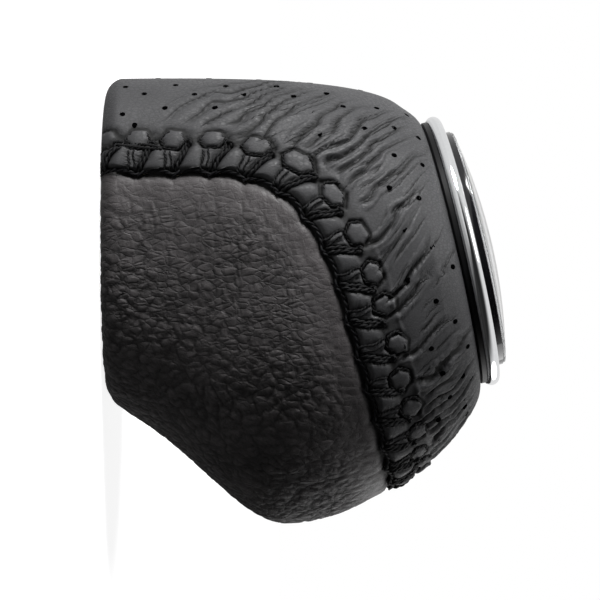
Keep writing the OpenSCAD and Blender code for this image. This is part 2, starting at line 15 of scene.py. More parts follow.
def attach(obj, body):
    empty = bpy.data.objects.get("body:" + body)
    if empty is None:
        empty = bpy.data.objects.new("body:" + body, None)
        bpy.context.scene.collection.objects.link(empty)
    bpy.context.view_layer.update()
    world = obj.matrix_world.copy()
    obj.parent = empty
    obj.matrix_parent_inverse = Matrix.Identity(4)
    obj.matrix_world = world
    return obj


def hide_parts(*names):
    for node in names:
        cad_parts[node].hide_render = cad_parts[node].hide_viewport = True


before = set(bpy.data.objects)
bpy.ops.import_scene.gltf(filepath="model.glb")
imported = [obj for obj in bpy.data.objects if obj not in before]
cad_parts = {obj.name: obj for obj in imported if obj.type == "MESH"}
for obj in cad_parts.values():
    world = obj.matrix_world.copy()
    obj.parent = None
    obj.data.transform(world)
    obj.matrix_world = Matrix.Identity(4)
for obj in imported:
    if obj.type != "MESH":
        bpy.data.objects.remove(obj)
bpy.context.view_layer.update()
MM = 0.001

# The knob's sizes, in mm; a place in its side outline is [along Y, height]
# Base: front to back, across, its corner's radius, and how far the leather turns in below
BASE_DEPTH, BASE_WIDTH, BASE_CORNER, HEM = 48.0, 40.0, 2.6, 5.0
# Widths at the bulge and the shoulder, the bulge's tip, and the cap's seat and its lean in degrees
BELLY_WIDTH, SHOULDER_WIDTH = 52.0, 47.2
BULGE = np.array([42.2, 26.5])
CAP_SEAT, CAP_TILT = np.array([2.1, 51.0]), 13.0
# The opening for the cap, how far the leather turns in there, and its thickness
RIM_RADIUS, RIM_HEM = 19.6, 2.4
LEATHER = 1.1
# How far the surface runs round the base corner, up a wall, and along 1 degree of the sides
CORNER_RUN, WALL_RUN, DEGREE_RUN = 4.1, 50, 0.4
# Cap parts: LOW and TOP are heights above the cap's seat, T is a thickness and R a radius
RING_LOW, RING_T, RING_R, RING_BORE_R = 0.9, 2.1, 20.6, 17.95
FLANGE_R, FLANGE_TOP, FLANGE_CUT = 20, 1.35, 0.3
DISC_LOW, DISC_T, DISC_R = 3.19, 0.9, 17.85
DISC_RIM_LOW, DISC_RIM_T = 2.65, 0.13
DOME_LOW, DOME_EDGE, DOME_RISE, DOME_R = 4.11, 0.3, 2.0, 17.65
# Stitches along the seam on one side, and how far their loops stand from it
STITCHES = 16
LOOP_REACH = 5.2
# The walls' t at the bulge and the shoulder, how steeply the front leaves the base, and t above its corner
T_BULGE, T_SHOULDER = 0.5, 0.88
FRONT_RISE = 0.45 * BULGE[1]
T_CORNER = BASE_CORNER / (3 * FRONT_RISE / T_BULGE)
# The seam's two ends and its knee as [th, q], the knee's direction, and the share where the bend turns
SEAM_BASE, SEAM_KNEE = np.array([108.7, 0.0]), np.array([114.9, 0.4])
SEAM_FRONT, KNEE_LEAN = np.array([0.0, 0.697]), np.array([-31.4, 1.0])
SEAM_TURN = 0.57
# Where the photograph was taken from: how far out on the knob's right side, along Y, and how high;
# and how much of the knob's middle plane it spans
VIEW_FROM, VIEW_Y, VIEW_Z = 390, 9, 28.65
VIEW_WIDTH = 90

CAP_OUT = np.array([math.cos(math.radians(CAP_TILT)), math.sin(math.radians(CAP_TILT))])
CAP_UP = np.array([-CAP_OUT[1], CAP_OUT[0]])
FRONT_RIM, REAR_RIM = CAP_SEAT + RIM_RADIUS * CAP_OUT, CAP_SEAT - RIM_RADIUS * CAP_OUT
FRONT_SHOULDER = FRONT_RIM + RIM_RADIUS * (0.314 * CAP_OUT - 0.2245 * CAP_UP)
REAR_SHOULDER = REAR_RIM - RIM_RADIUS * (0.204 * CAP_OUT + 0.138 * CAP_UP)
FRONT_BASE, REAR_BASE = np.array([0.506 * BASE_DEPTH, 0]), np.array([-BASE_DEPTH / 2, 0])


# The body's surface
def bezier(points, k):
    """The places at shares k of a cubic curve with four control points."""
    a, b, c, d = [np.atleast_1d(np.asarray(p, float)) for p in points]
    k = np.asarray(k, float)[..., None]
    return (1 - k) ** 3 * a + 3 * k * (1 - k) ** 2 * b + 3 * k * k * (1 - k) * c + k**3 * d


def three_spans(t, low, mid, high):
    """low up to the bulge, mid up to the shoulder and high up to the rim."""
    t = np.asarray(t, float)
    a = bezier(low, t / T_BULGE)
    b = bezier(mid, (t - T_BULGE) / (T_SHOULDER - T_BULGE))
    c = bezier(high, (t - T_SHOULDER) / (1 - T_SHOULDER))
    return np.where((t < T_BULGE)[..., None], a, np.where((t < T_SHOULDER)[..., None], b, c))


def front_wall(t):
    """[along Y, height] up the front of the side outline, 0 at the base and 1 at the rim."""
    lean, high = np.array([0.8, -0.6]), BULGE[1]
    return three_spans(
        t,
        [FRONT_BASE, FRONT_BASE + [0.4 * FRONT_RISE, FRONT_RISE], BULGE - [0, 0.26 * high], BULGE],
        [BULGE, BULGE + [0, 0.36 * high], FRONT_SHOULDER + 0.35 * high * lean, FRONT_SHOULDER],
        [FRONT_SHOULDER, FRONT_SHOULDER - 0.11 * high * lean,
         FRONT_RIM + 0.128 * RIM_RADIUS * CAP_OUT, FRONT_RIM],
    )


def rear_wall(t):
    """[along Y, height] up the rear."""
    t = np.asarray(t, float)
    lean = np.array([0.6, 0.8])
    tall = CAP_SEAT[1]
    low = [REAR_BASE, REAR_BASE + tall * np.array([-0.006, 0.39]),
           REAR_SHOULDER - 0.118 * tall * lean, REAR_SHOULDER]
    high = [REAR_SHOULDER, REAR_SHOULDER + 0.033 * tall * lean,
            REAR_RIM - 0.077 * RIM_RADIUS * CAP_OUT, REAR_RIM]
    a = bezier(low, t / T_SHOULDER)
    b = bezier(high, (t - T_SHOULDER) / (1 - T_SHOULDER))
    return np.where((t < T_SHOULDER)[..., None], a, b)


def half_width(t):
    """Half the knob's width at each height."""
    base, belly, shoulder = BASE_WIDTH, BELLY_WIDTH, SHOULDER_WIDTH
    return three_spans(
        t,
        [0.5 * base, 0.515 * base, 0.4885 * belly, 0.5 * belly],
        [0.5 * belly, 0.5077 * belly, 0.534 * shoulder, 0.5 * shoulder],
        [0.5 * shoulder, 0.479 * shoulder, 1.097 * RIM_RADIUS, RIM_RADIUS],
    )[..., 0]


def section(th, t, inset):
    """Points of the level at t, inset mm inside the outline; th is 0 at the front, 180 at the rear."""
    a = np.radians(th)
    front, rear = front_wall(t), rear_wall(t)
    middle, half = (front + rear) / 2, (front - rear) / 2
    length = np.linalg.norm(half, axis=-1)
    power = 2 / (2.5 - 0.5 * np.clip(t, 0, 1))
    c, s = np.cos(a), np.sin(a)
    along = np.sign(c) * np.abs(c) ** power * (length - inset)
    across = np.sign(s) * np.abs(s) ** power * (half_width(t) - inset)
    egg = 1 - 0.13 * np.sin(np.pi * t) * c
    yz = middle + (along / length)[..., None] * half
    return np.stack([across * egg, yz[..., 0], yz[..., 1]], -1)


def outline(th, q):
    """q is -2 at the hem's edge below, -1 to 0 round the base corner, 1 at the rim."""
    th, q = np.broadcast_arrays(np.asarray(th, float), np.asarray(q, float))
    turn = np.radians(90 * np.clip(q, -1, 0))
    t = np.where(q < 0, T_CORNER * (1 + np.sin(turn)), T_CORNER + (1 - T_CORNER) * np.clip(q, 0, 1))
    t = np.where(q < -1, 0.0, t)
    inset = np.where(q < 0, BASE_CORNER * (1 - np.cos(turn)), 0.0)
    inset = np.where(q < -1, BASE_CORNER - HEM * (q + 1), inset)
    inset = np.where(q > 1, RIM_HEM * (q - 1), inset)
    return section(th, t, inset)


def unit(v):
    return v / np.linalg.norm(v, axis=-1, keepdims=True)


def outward(th, q):
    """Directions out of the surface."""
    th, q = np.broadcast_arrays(np.asarray(th, float), np.asarray(q, float))
    up = outline(th, np.minimum(1, q + 0.01)) - outline(th, np.maximum(-1, q - 0.01))
    around = outline(th + 0.5, q) - outline(th - 0.5, q)
    normal = np.cross(up, around)
    normal = normal / np.maximum(np.linalg.norm(normal, axis=-1, keepdims=True), 1e-9)
    normal = np.where((q <= -1)[..., None], [0, 0, -1.0], normal)
    return np.where((q > 1)[..., None], [0, CAP_UP[0], CAP_UP[1]], normal)


# The seam
def seam_line(u):
    """[th, q] along the seam's two spans, from the front to the base corner."""
    u = np.asarray(u, float)
    a = bezier([SEAM_FRONT, SEAM_FRONT + [61.8, 0], SEAM_KNEE + 0.192 * KNEE_LEAN, SEAM_KNEE], 2 * u)
    b = bezier([SEAM_KNEE, SEAM_KNEE - 0.159 * KNEE_LEAN, SEAM_BASE + [3.7, 0.162], SEAM_BASE], 2 * u - 1)
    return np.where((u < 0.5)[..., None], a, b)


SEAM_U = np.linspace(0, 1, 1201)
SEAM_XYZ = outline(*seam_line(SEAM_U).T)
SEAM_RUN = np.concatenate([[0], np.cumsum(np.linalg.norm(np.diff(SEAM_XYZ, axis=0), axis=1))])
SEAM_LENGTH = SEAM_RUN[-1]
PITCH = SEAM_LENGTH / STITCHES
SEAM_END = 1 + 0.97 * CORNER_RUN / SEAM_LENGTH


def seam(share):
    """[th, q] at an even share of the seam's length, 0 at the front and 1 at the base corner.

    Past 1 the seam runs straight on round the corner, to SEAM_END.
    """
    place = seam_line(np.interp(share, SEAM_RUN / SEAM_LENGTH, SEAM_U))
    beyond = np.clip(np.asarray(share, float) - 1, 0, SEAM_END - 1)
    place[..., 1] -= beyond * SEAM_LENGTH / CORNER_RUN
    return place


def spot(place):
    """Points of the surface at an array of [th, q]."""
    return outline(place[..., 0], place[..., 1])


def beside_seam(share, off):
    """[th, q] of the place off mm from the seam, positive on the perforated side."""
    share, off = np.broadcast_arrays(np.asarray(share, float), np.asarray(off, float))
    s = seam(share)
    a, b = seam(np.clip(share - 0.01, 0, SEAM_END)), seam(np.clip(share + 0.01, 0, SEAM_END))
    way = unit(spot(b) - spot(a))
    p = spot(s)
    side = unit(np.cross(outward(s[..., 0], s[..., 1]), way))
    step_th = outline(s[..., 0] + 1, s[..., 1]) - p
    fine = np.where(s[..., 1] < 0, -0.01, 0.01)
    step_q = (outline(s[..., 0], s[..., 1] + fine) - p) / fine[..., None]
    e_th, e_q = unit(step_th), unit(step_q)
    c = (e_th * e_q).sum(-1)
    d_th, d_q = (side * e_th).sum(-1), (side * e_q).sum(-1)
    k_th = (d_th - c * d_q) / (1 - c * c) / np.linalg.norm(step_th, axis=-1)
    k_q = (d_q - c * d_th) / (1 - c * c) / np.linalg.norm(step_q, axis=-1)
    return s - off[..., None] * np.stack([k_th, k_q], -1)


def whole_turn(steps):
    return np.linspace(0, 2 * np.pi, steps, endpoint=False)


def smooth(x):
    """Eases from 0 to 1 as x does."""
    x = np.clip(x, 0, 1)
    return x * x * (3 - 2 * x)


def hump(x, power=2):
    """1 at 0 and falling to nothing on both sides, by about x = 2."""
    return np.exp(-(x**power))


def rough(x, seed):
    """Smooth noise along a line, -1 to 1, from hashed whole numbers."""
    x = np.asarray(x, float)
    i = np.floor(x)

    def at(n):
        return np.modf(np.abs(np.sin(n * 12.9898 + seed * 78.233) * 43758.5453))[0] * 2 - 1

    return at(i) + (at(i + 1) - at(i)) * smooth(x - i)


def hashed(n, seed):
    """A fixed value from 0 to 1 for each number n."""
    return np.modf(np.abs(np.sin(np.asarray(n, float) * 91.17 + seed * 37.719) * 15731.743))[0]


def scallop(share):
    """The join line dips to the front at each stitch and swells back between them."""
    phase = np.asarray(share) * STITCHES + 0.54
    swell = np.abs(np.sin(np.pi * phase)) ** 0.8
    return (0.8 * swell - 0.35) * smooth((SEAM_END - np.asarray(share)) * STITCHES)


# Mesh helpers
def add_object(name, data):
    made = bpy.data.objects.new(name, data)
    bpy.context.scene.collection.objects.link(made)
    return made


def new_mesh(name, points, quads, **fields):
    """A smooth mesh from points in mm, with a float attribute for each of fields.

    Nothing hangs below the base: points there are pressed flat.
    """
    mesh = bpy.data.meshes.new(name)
    points = np.maximum(np.asarray(points, float), [-np.inf, -np.inf, 0.0]) * MM
    quads = np.asarray(quads, np.int32)
    width = quads.shape[1]
    mesh.vertices.add(len(points))
    mesh.vertices.foreach_set("co", points.astype(np.float32).ravel())
    mesh.loops.add(quads.size)
    mesh.loops.foreach_set("vertex_index", quads.ravel())
    mesh.polygons.add(len(quads))
    mesh.polygons.foreach_set("loop_start", np.arange(0, quads.size, width, dtype=np.int32))
    mesh.polygons.foreach_set("loop_total", np.full(len(quads), width, np.int32))
    for label, values in fields.items():
        layer = mesh.attributes.new(label, "FLOAT", "POINT")
        layer.data.foreach_set("value", np.asarray(values, np.float32).ravel())
    mesh.update(calc_edges=True)
    mesh.validate()
    mesh.shade_smooth()
    return add_object(name, mesh)


def grid_quads(n, m, wrap_n, wrap_m, start=0):
    """Faces of a grid of n by m points, closed round along n or m where it wraps."""
    i = np.arange(n if wrap_n else n - 1)
    j = np.arange(m if wrap_m else m - 1)
    i, j = [v.ravel() for v in np.meshgrid(i, j, indexing="ij")]
    i2, j2 = (i + 1) % n, (j + 1) % m
    return start + np.stack([i * m + j, i * m + j2, i2 * m + j2, i2 * m + j], -1)


def add_faces(piece, faces):
    """Adds faces between a mesh's own points, and turns all faces outwards."""
    bm = bmesh.new()
    bm.from_mesh(piece.data)
    bm.verts.ensure_lookup_table()
    for f in faces:
        bm.faces.new([bm.verts[v] for v in f])
    bmesh.ops.recalc_face_normals(bm, faces=bm.faces)
    bm.to_mesh(piece.data)
    bm.free()
    piece.data.shade_smooth()


def mirrored(points):
    """The points on the other side of the knob."""
    return points * [-1, 1, 1]


# Relief of the two leathers
# Points compared at a time with the seam, which keeps the tables of distances small
BLOCK = 20000


def nearest_seam(points):
    """Share and distance of the nearest place on the right-hand seam."""
    pts = np.array(points, float)
    pts[..., 0] = np.abs(pts[..., 0])
    flat_pts = pts.reshape(-1, 3)
    share, dist = np.empty(len(flat_pts)), np.empty(len(flat_pts))
    shares = np.concatenate([(SEAM_RUN / SEAM_LENGTH)[::2], np.linspace(1, SEAM_END, 46)[1:]])
    line = outline(*seam(shares).T)
    for a in range(0, len(flat_pts), BLOCK):
        block = flat_pts[a : a + BLOCK]
        gap = (block**2).sum(1)[:, None] - 2 * block @ line.T + (line**2).sum(1)[None]
        k = gap.argmin(1)
        share[a : a + BLOCK] = shares[k]
        dist[a : a + BLOCK] = np.sqrt(np.maximum(gap[np.arange(len(block)), k], 0))
    return share.reshape(pts.shape[:-1]), dist.reshape(pts.shape[:-1])


def crease_angle(share):
    """Angle of the gathers above the lever's axis, seen from the side, in degrees."""
    return np.interp(share, [0, 0.15, 0.3, 0.45, 0.6, 0.75, 0.9, 1], [52, 44, 34, 38, 50, 42, 34, 30])


def crease_length(share):
    """How far the gathers reach from the seam, in mm."""
    return np.interp(share, [0, 0.2, 0.45, 0.6, 0.8, 0.9, 1], [9, 8, 8, 11, 13, 6, 3])


# Weights that make one number of a cell's three whole coordinates
CELL_KEY = [7.13, 31.7, 113.9]


def space_noise(points, seed):
    """Smooth noise in space, -1 to 1, with one hashed value at each whole point."""
    corner = np.floor(points)
    part = smooth(points - corner)
    total = 0
    for k in range(8):
        o = np.array([k & 1, k >> 1 & 1, k >> 2 & 1])
        weight = np.prod(np.where(o, part, 1 - part), axis=-1)
        total = total + weight * hashed((corner + o) @ CELL_KEY, seed)
    return 2 * total - 1


def drifted(points, amount, pitch, seed):
    """Points pushed about by smooth noise, so that cell borders run unevenly."""
    return points + amount * np.stack([space_noise(points / pitch, seed + a) for a in range(3)], -1)


def crease_lean(share):
    """How far the gathers run along the seam for each mm that they run away from it."""
    share = np.asarray(share, float)
    ahead, behind = [outline(*seam(np.clip(share + d, 0, 1)).T) for d in (0.01, -0.01)]
    along = unit(ahead - behind)
    middle = seam(share)
    away = unit(np.cross(outward(*middle.T), along))
    turn = np.radians(crease_angle(share))
    way = np.stack([0 * turn, -np.sin(turn), np.cos(turn)], -1)
    return np.clip((way * along).sum(-1) / np.maximum(np.abs((way * away).sum(-1)), 0.2), -2.2, 2.2)


LEAN_AT = np.linspace(0, 1, 201)
LEAN = crease_lean(LEAN_AT)
LEAN_RUN = np.concatenate([[0], np.cumsum(SEAM_LENGTH / 200 / np.sqrt(1 + LEAN[1:] ** 2))])


class Gathers:
    """Lines that fan out over the leather from the seam, numbered by a smooth phase."""

    def __init__(self, points, share, mm, spacing, seed, start, length):
        lean = np.interp(share, LEAN_AT, LEAN)
        run = np.interp(share, LEAN_AT, LEAN_RUN) - lean * mm / np.sqrt(1 + lean**2)
        sway = 1.7 * space_noise(points / 7.0, seed) + 0.65 * space_noise(points / 2.3, seed + 1)
        self.phase = (run + sway * min(1.0, spacing / 1.6)) / spacing + 40
        number = np.round(self.phase)
        self.off = (self.phase - number) * spacing
        first = start[0] + (start[1] - start[0]) * hashed(number, seed + 2)
        reach = crease_length(share) * (length[0] + (length[1] - length[0]) * hashed(number, seed + 3))
        inside = smooth((mm - first) / 1.4) * np.clip((first + reach - mm) / (0.55 * reach), 0, 1)
        patchy = smooth(1.5 + 1.2 * space_noise(points / 5.0, seed + 6))
        kept = hashed(number, seed + 5) > 0.1
        self.strength = inside * patchy * (0.4 + 0.6 * hashed(number, seed + 4)) * kept

    def height(self, depth, width):
        """A valley along each line with a low ridge on both sides."""
        valley = hump(self.off / width)
        puff = hump((np.abs(self.off) - 1.9 * width) / (1.3 * width))
        return depth * self.strength * (0.4 * puff - valley)


# The lacing, in mm along the seam from a stitch's middle: a strand's top and foot, how far it climbs from
# the seam, and the fine strands
STRAND_TOP, STRAND_FOOT, STRAND_REACH = -2.3, -0.2, 4.6
FOLD_X = 1.1


def strand_x(mm):
    """The lacing leans towards the front as it climbs from the join to the knots."""
    return STRAND_FOOT + (STRAND_TOP - STRAND_FOOT) * np.clip(mm, 0, STRAND_REACH) / STRAND_REACH


def cell_of(share):
    """Number of the stitch, and the distance along the seam from its middle."""
    phase = np.asarray(share) * STITCHES
    i = np.floor(phase)
    return i, (phase - i - 0.5) * PITCH


def below_bend(i):
    """1 at the stitches under the bulge, easing to 0 past the bend."""
    return smooth((9.5 - i) / 3)


def loop_shape(i):
    """Centre and half sizes of a stitch's loop: along the seam, and away from it."""
    lower = below_bend(i)
    shift = (hashed(i, 4) - 0.5) * (0.35 + 0.9 * lower)
    reach = LOOP_REACH + (hashed(i, 5) - 0.5) * (0.4 + 1.1 * lower)
    along = 1.5 + 0.3 * (hashed(i, 6) - 0.5) - 0.15 * lower
    away = 1.3 + 0.26 * (hashed(i, 7) - 0.5)
    return shift, reach, along, away


def loop_tilt(i):
    """How far a stitch's loop is turned, in radians."""
    return (hashed(i, 21) - 0.5) * (0.35 + 1.1 * below_bend(i))


def hexagon(x, y):
    """Distance from the middle of a six-sided shape, about 1 along its edge."""
    x, y = np.abs(x), np.abs(y)
    return np.maximum(0.97 * y, 0.86 * x + 0.46 * y)


def pillow(u, v):
    """A pad that is 1 high in the middle of a unit square, and full nearly to its edges."""
    u, v = np.clip(u, 0, 1), np.clip(v, 0, 1)
    return (np.sin(np.pi * u) ** 0.45) * (np.sin(np.pi * v) ** 0.45)


LOOP_EDGE = 1.14


def loop_level(share, mm):
    """0 at the middle of a stitch's loop and LOOP_EDGE along its thread."""
    i, x = cell_of(share)
    shift, reach, along, away = loop_shape(i)
    turn = loop_tilt(i)
    dx, dy = x - shift, mm - reach
    dx, dy = dx * np.cos(turn) + dy * np.sin(turn), dy * np.cos(turn) - dx * np.sin(turn)
    return hexagon(dx / along, dy / away)


def thread_shadow(share, mm):
    """Painted shadow beside the lacing's strands and in the join, 0 to 1."""
    x = cell_of(share)[1]
    strand = hump(wrap(x - strand_x(mm)) / 0.95, 4) * smooth((STRAND_REACH + 0.9 - mm) / 0.6)
    knot = hump(np.hypot(wrap(x - STRAND_TOP), mm - STRAND_REACH) / 1.15, 4)
    folds = 0.7 * hump(wrap(x - FOLD_X) / 0.35) * (mm < LOOP_REACH - 1.2)
    between = 0.5 * smooth((loop_level(share, mm) - 1.1) / 0.4)
    between = between * smooth((7.2 - mm) / 1.2) * smooth((mm - 3.6) / 0.8)
    return np.maximum.reduce([0.9 * strand, knot, folds, between, hump(mm / 0.85, 4)])


def band(share, mm):
    """Pads, loops and thread channels of the laced band, 0 to about 7 mm from the seam."""
    i, x = cell_of(share)
    _, reach, _, away = loop_shape(i)
    hexed = loop_level(share, mm)
    lower = smooth((0.62 - share) * 6)
    swollen = 0.22 + 0.25 * lower * hashed(i, 22)
    bump = swollen * np.sqrt(np.clip(1 - 0.8 * hexed**2, 0, 1)) * (hexed < LOOP_EDGE - 0.02)
    groove = -0.55 * hump((hexed - LOOP_EDGE) / 0.17)
    # the pillow between the folds of one stitch and the strand of the next
    here = np.where(x > FOLD_X, x, x + PITCH)
    far = strand_x(mm) + PITCH
    wide = (here - FOLD_X) / (far - FOLD_X)
    pad_i = np.where(x > FOLD_X, i, i - 1)
    pad_h = 0.42 + 0.3 * hashed(pad_i, 8)
    pads = pad_h * pillow(wide, (mm + 0.15) / 4.2)
    # two small folds under the loop
    u = (x - strand_x(mm)) / (FOLD_X - strand_x(mm))
    folds = np.where((u > 0) & (u < 1), 0.3 * np.abs(np.sin(2 * np.pi * u)) ** 0.6 * smooth(mm / 0.8), 0)
    between = np.where((x > FOLD_X) | (x < strand_x(mm)), pads, folds)
    strand = -0.5 * hump(wrap(x - strand_x(mm)) / 0.72, 4) * smooth((STRAND_REACH + 0.8 - mm) / 0.8)
    inner = (between + strand) * smooth((reach - 0.55 * away - mm) / 0.9 + 0.35)
    fade = smooth((SEAM_END - share) * STITCHES * 4)
    rim_at = 6.9 + 0.35 * rough(share * 21, 14)
    ridge = 0.3 * lower * hump((mm - rim_at) / 0.3) * (0.4 + 0.6 * hashed(i, 9))
    trench = -0.4 * lower * hump((mm - rim_at - 0.55) / 0.3) * (0.3 + 0.7 * hashed(i, 9))
    edge = -0.55 * hump(mm / 0.4)
    return (np.where(hexed < 1.35, 0, 1) * inner + bump + groove + ridge + trench) * fade + edge


def wrap(x):
    """A distance along the seam, taken from the nearest stitch."""
    return x - PITCH * np.round(x / PITCH)


# The loop level of places that lie far from any loop
NO_LOOP = 3.0
# How far the laced band and its pads reach from the seam, and where the gathers begin
BAND_REACH, GATHER_FROM = 6.3, 4.6
# Share of the seam at which the gathers end, near the base
GATHER_END = 0.97
# Distance between neighbouring gathers
FOLD_SPACING, WRINKLE_SPACING = 2.2, 1.0


def height_perforated(points, share, mm):
    """Relief of the perforated leather, and the fields that draw its finest lines."""
    inside = 1 - smooth((mm - BAND_REACH) / 1.5)
    upper = smooth((GATHER_END - share) * 5)
    folds = Gathers(points, share, mm, FOLD_SPACING, 120, (4.9, 7.4), (0.85, 1.7))
    wrinkles = Gathers(points, share, mm, WRINKLE_SPACING, 140, (5.6, 14.0), (0.3, 1.0))
    gathered = (folds.height(0.7, 0.4) + wrinkles.height(0.2, 0.26)) * upper
    height = inside * band(share, mm) + gathered * smooth((mm - GATHER_FROM) / 1.6)
    at = share * STITCHES
    wide = 0.2 * rough(at * 0.9 + 0.1 * mm, 8) * rough(mm * 0.22 + 3, 9)
    fade = smooth(mm - GATHER_FROM) * upper
    fields = {
        "fold_phase": folds.phase, "fold_strength": folds.strength * fade,
        "wrinkle_phase": wrinkles.phase, "wrinkle_strength": wrinkles.strength * fade,
        "loop_level": np.where(share < SEAM_END - 0.001, np.minimum(loop_level(share, mm), NO_LOOP), NO_LOOP),
    }
    return height + wide * smooth(mm / 6) * smooth((20 - mm) / 8), fields


def painted_shade(height):
    """How far each place of a grid of heights lies below its surroundings, 0 to 1, for painted shade in the
    hollows.
    """
    wide = height.copy()
    for _ in range(6):
        wide[1:-1] = (wide[:-2] + 2 * wide[1:-1] + wide[2:]) / 4
        wide[:, 1:-1] = (wide[:, :-2] + 2 * wide[:, 1:-1] + wide[:, 2:]) / 4
    return np.clip((wide - height - 0.02) / 0.12, 0, 1)


# Perforated leather
def corner_mm(q):
    """Distance along a wall from the top of the base corner, in mm, at path coordinate q."""
    q = np.asarray(q, float)
    return np.where(q < -1, -CORNER_RUN + HEM * (q + 1), np.where(q < 0, CORNER_RUN * q, WALL_RUN * q))


def corner_q(mm):
    """The path coordinate at a distance from the top of the base corner."""
    mm = np.asarray(mm, float)
    low = -1 + (mm + CORNER_RUN) / HEM
    return np.where(mm < -CORNER_RUN, low, np.where(mm < 0, mm / CORNER_RUN, mm / WALL_RUN))


def rim_angle(share):
    """Angle at the rim of the column that starts at a share of the seam."""
    return 143 * (1 - (1 - share) ** 3) + 25 * share


def perforated_columns(per_stitch, tail, hem):
    """Where each column starts, [th, mm up the wall], and its angle at the rim.

    The columns start along the seam, then down the side corner and along the hem to the rear.
    """
    share = np.linspace(0, 1, STITCHES * per_stitch + 1)
    foot = beside_seam(share, 0.3 + scallop(share))
    foot[:, 1] = corner_mm(np.maximum(foot[:, 1], 0))
    top = rim_angle(share)
    low = corner_mm(-2)
    start = foot[-1]
    k = np.linspace(0, 1, tail + 1)[1:]
    down = np.stack([np.full(tail, start[0]), start[1] + (low - start[1]) * k], -1)
    j = np.linspace(0, 1, hem + 1)[1:]
    back = np.stack([start[0] + (180 - start[0]) * j, np.full(hem, float(low))], -1)
    rest = np.linspace(0, 1, tail + hem + 1)[1:]
    return np.concatenate([foot, down, back]), np.concatenate([top, top[-1] + (180 - top[-1]) * rest])


def row_shares(rows, dense):
    """Even steps near the foot that grow towards the rim."""
    k = np.linspace(0, 1, rows)
    return dense * k + (1 - dense) * k**2.2


QUALITY = 1.0
PER_STITCH, CORNER_COLUMNS, HEM_COLUMNS = int(24 * QUALITY), int(18 * QUALITY), int(44 * QUALITY)
ROWS = int(88 * QUALITY)
# The relief goes no deeper than this, so that it stays above the inner face
DEEPEST = -0.75


def perforated_leather():
    """The closed shell round the rear and the cap, its outer grid, the normals and distances to the seam."""
    foot, top = perforated_columns(PER_STITCH, CORNER_COLUMNS, HEM_COLUMNS)
    w = row_shares(ROWS, 0.42)
    th = foot[:, :1] + (top[:, None] - foot[:, :1]) * w
    mm_up = foot[:, 1:] + (WALL_RUN - foot[:, 1:]) * w
    q = corner_q(mm_up)
    base = outline(th, q)
    normal = outward(th, q)
    step = np.linalg.norm(np.diff(base, axis=1), axis=-1)
    run = np.concatenate([np.zeros((len(th), 1)), np.cumsum(step, axis=1)], axis=1)
    seam_share, seam_mm = nearest_seam(base)
    height, fields = height_perforated(base, seam_share, seam_mm)
    height = height * smooth((mm_up - 0.2 + CORNER_RUN) / 1.5) * smooth((WALL_RUN - mm_up) / 2.5)
    height = np.maximum(height, DEEPEST)
    # painted shade: the colour darkens in the relief's hollows, beside the lacing's strands and in the join
    shadow = thread_shadow(seam_share, seam_mm) * (seam_mm < 7) * smooth((SEAM_END - seam_share) * 400)
    fields["painted_shade"] = np.maximum(painted_shade(height), shadow)
    outer = base + height[..., None] * normal
    # the seam's raw edge rolls under, then the inner face follows with fewer rows
    roll = hump(run / 0.5) * 0.35
    outer = outer - roll[..., None] * normal
    lip = outline(top[:, None], np.array([1.12, 1.3, 1.65, 2.0]))
    lip_n = np.broadcast_to([0, CAP_UP[0], CAP_UP[1]], lip.shape)
    back_rows = np.linspace(ROWS - 1, 0, max(10, ROWS // 7)).astype(int)
    inner = base[:, back_rows] - LEATHER * normal[:, back_rows]
    lip_inner = lip[:, ::-1][:, :2] - LEATHER * lip_n[:, :2]
    columns = np.concatenate([outer, lip, lip_inner, inner], axis=1)
    hidden = columns.shape[1] - ROWS
    for label, values in fields.items():
        rest = np.full((len(th), hidden), NO_LOOP if label == "loop_level" else 0.0)
        values = np.concatenate([values, rest], axis=1)
        fields[label] = np.concatenate([values, values[1:-1][::-1]])
    columns = np.concatenate([columns, mirrored(columns[1:-1][::-1])])
    quads = grid_quads(*columns.shape[:2], True, True)[:, ::-1]
    piece = new_mesh("perforated_leather_skin", columns.reshape(-1, 3), quads, **fields)
    return piece, outer, normal, seam_mm


# Pebbled front leather
# Size of one pebble along X, Y and Z
PEBBLE = np.array([2.1, 1.75, 2.8])


def cells(at, seed):
    """Distance to the nearest and next nearest of scattered centres, one to a unit cell."""
    cell = np.floor(at)
    first = np.full(at.shape[:-1], 9.0)
    second = first.copy()
    for dx in (-1, 0, 1):
        for dy in (-1, 0, 1):
            for dz in (-1, 0, 1):
                c = cell + [dx, dy, dz]
                key = c @ CELL_KEY
                centre = c + np.stack([hashed(key, seed + a) for a in range(3)], -1)
                gap = np.linalg.norm(at - centre, axis=-1)
                second = np.minimum(second, np.maximum(first, gap))
                first = np.minimum(first, gap)
    return first, second


def pebble(points):
    """Grain of raised cells with smaller ones on them: height, and depth in a groove."""
    bent = drifted(drifted(points, 0.6, 2.2, 60), 0.24, 0.9, 64)
    first, second = cells(bent / PEBBLE, 70)
    large = np.clip((second - first) / 0.4, 0, 1)
    first, second = cells(drifted(points, 0.3, 0.9, 80) / (0.5 * PEBBLE), 77)
    small = np.clip((second - first) / 0.4, 0, 1)
    patch = np.clip(0.85 + 0.3 * space_noise(points / 6.0, 66), 0.55, 1)
    height = 0.24 * (1 - (1 - large) ** 2) + 0.05 * (1 - (1 - small) ** 2) - 0.26
    return height * patch, np.maximum((1 - large) ** 1.3, 0.6 * (1 - small) ** 1.5) * patch


# [th, q] in the middle of the front leather
FRONT_MIDDLE = np.array([0.0, 0.33])


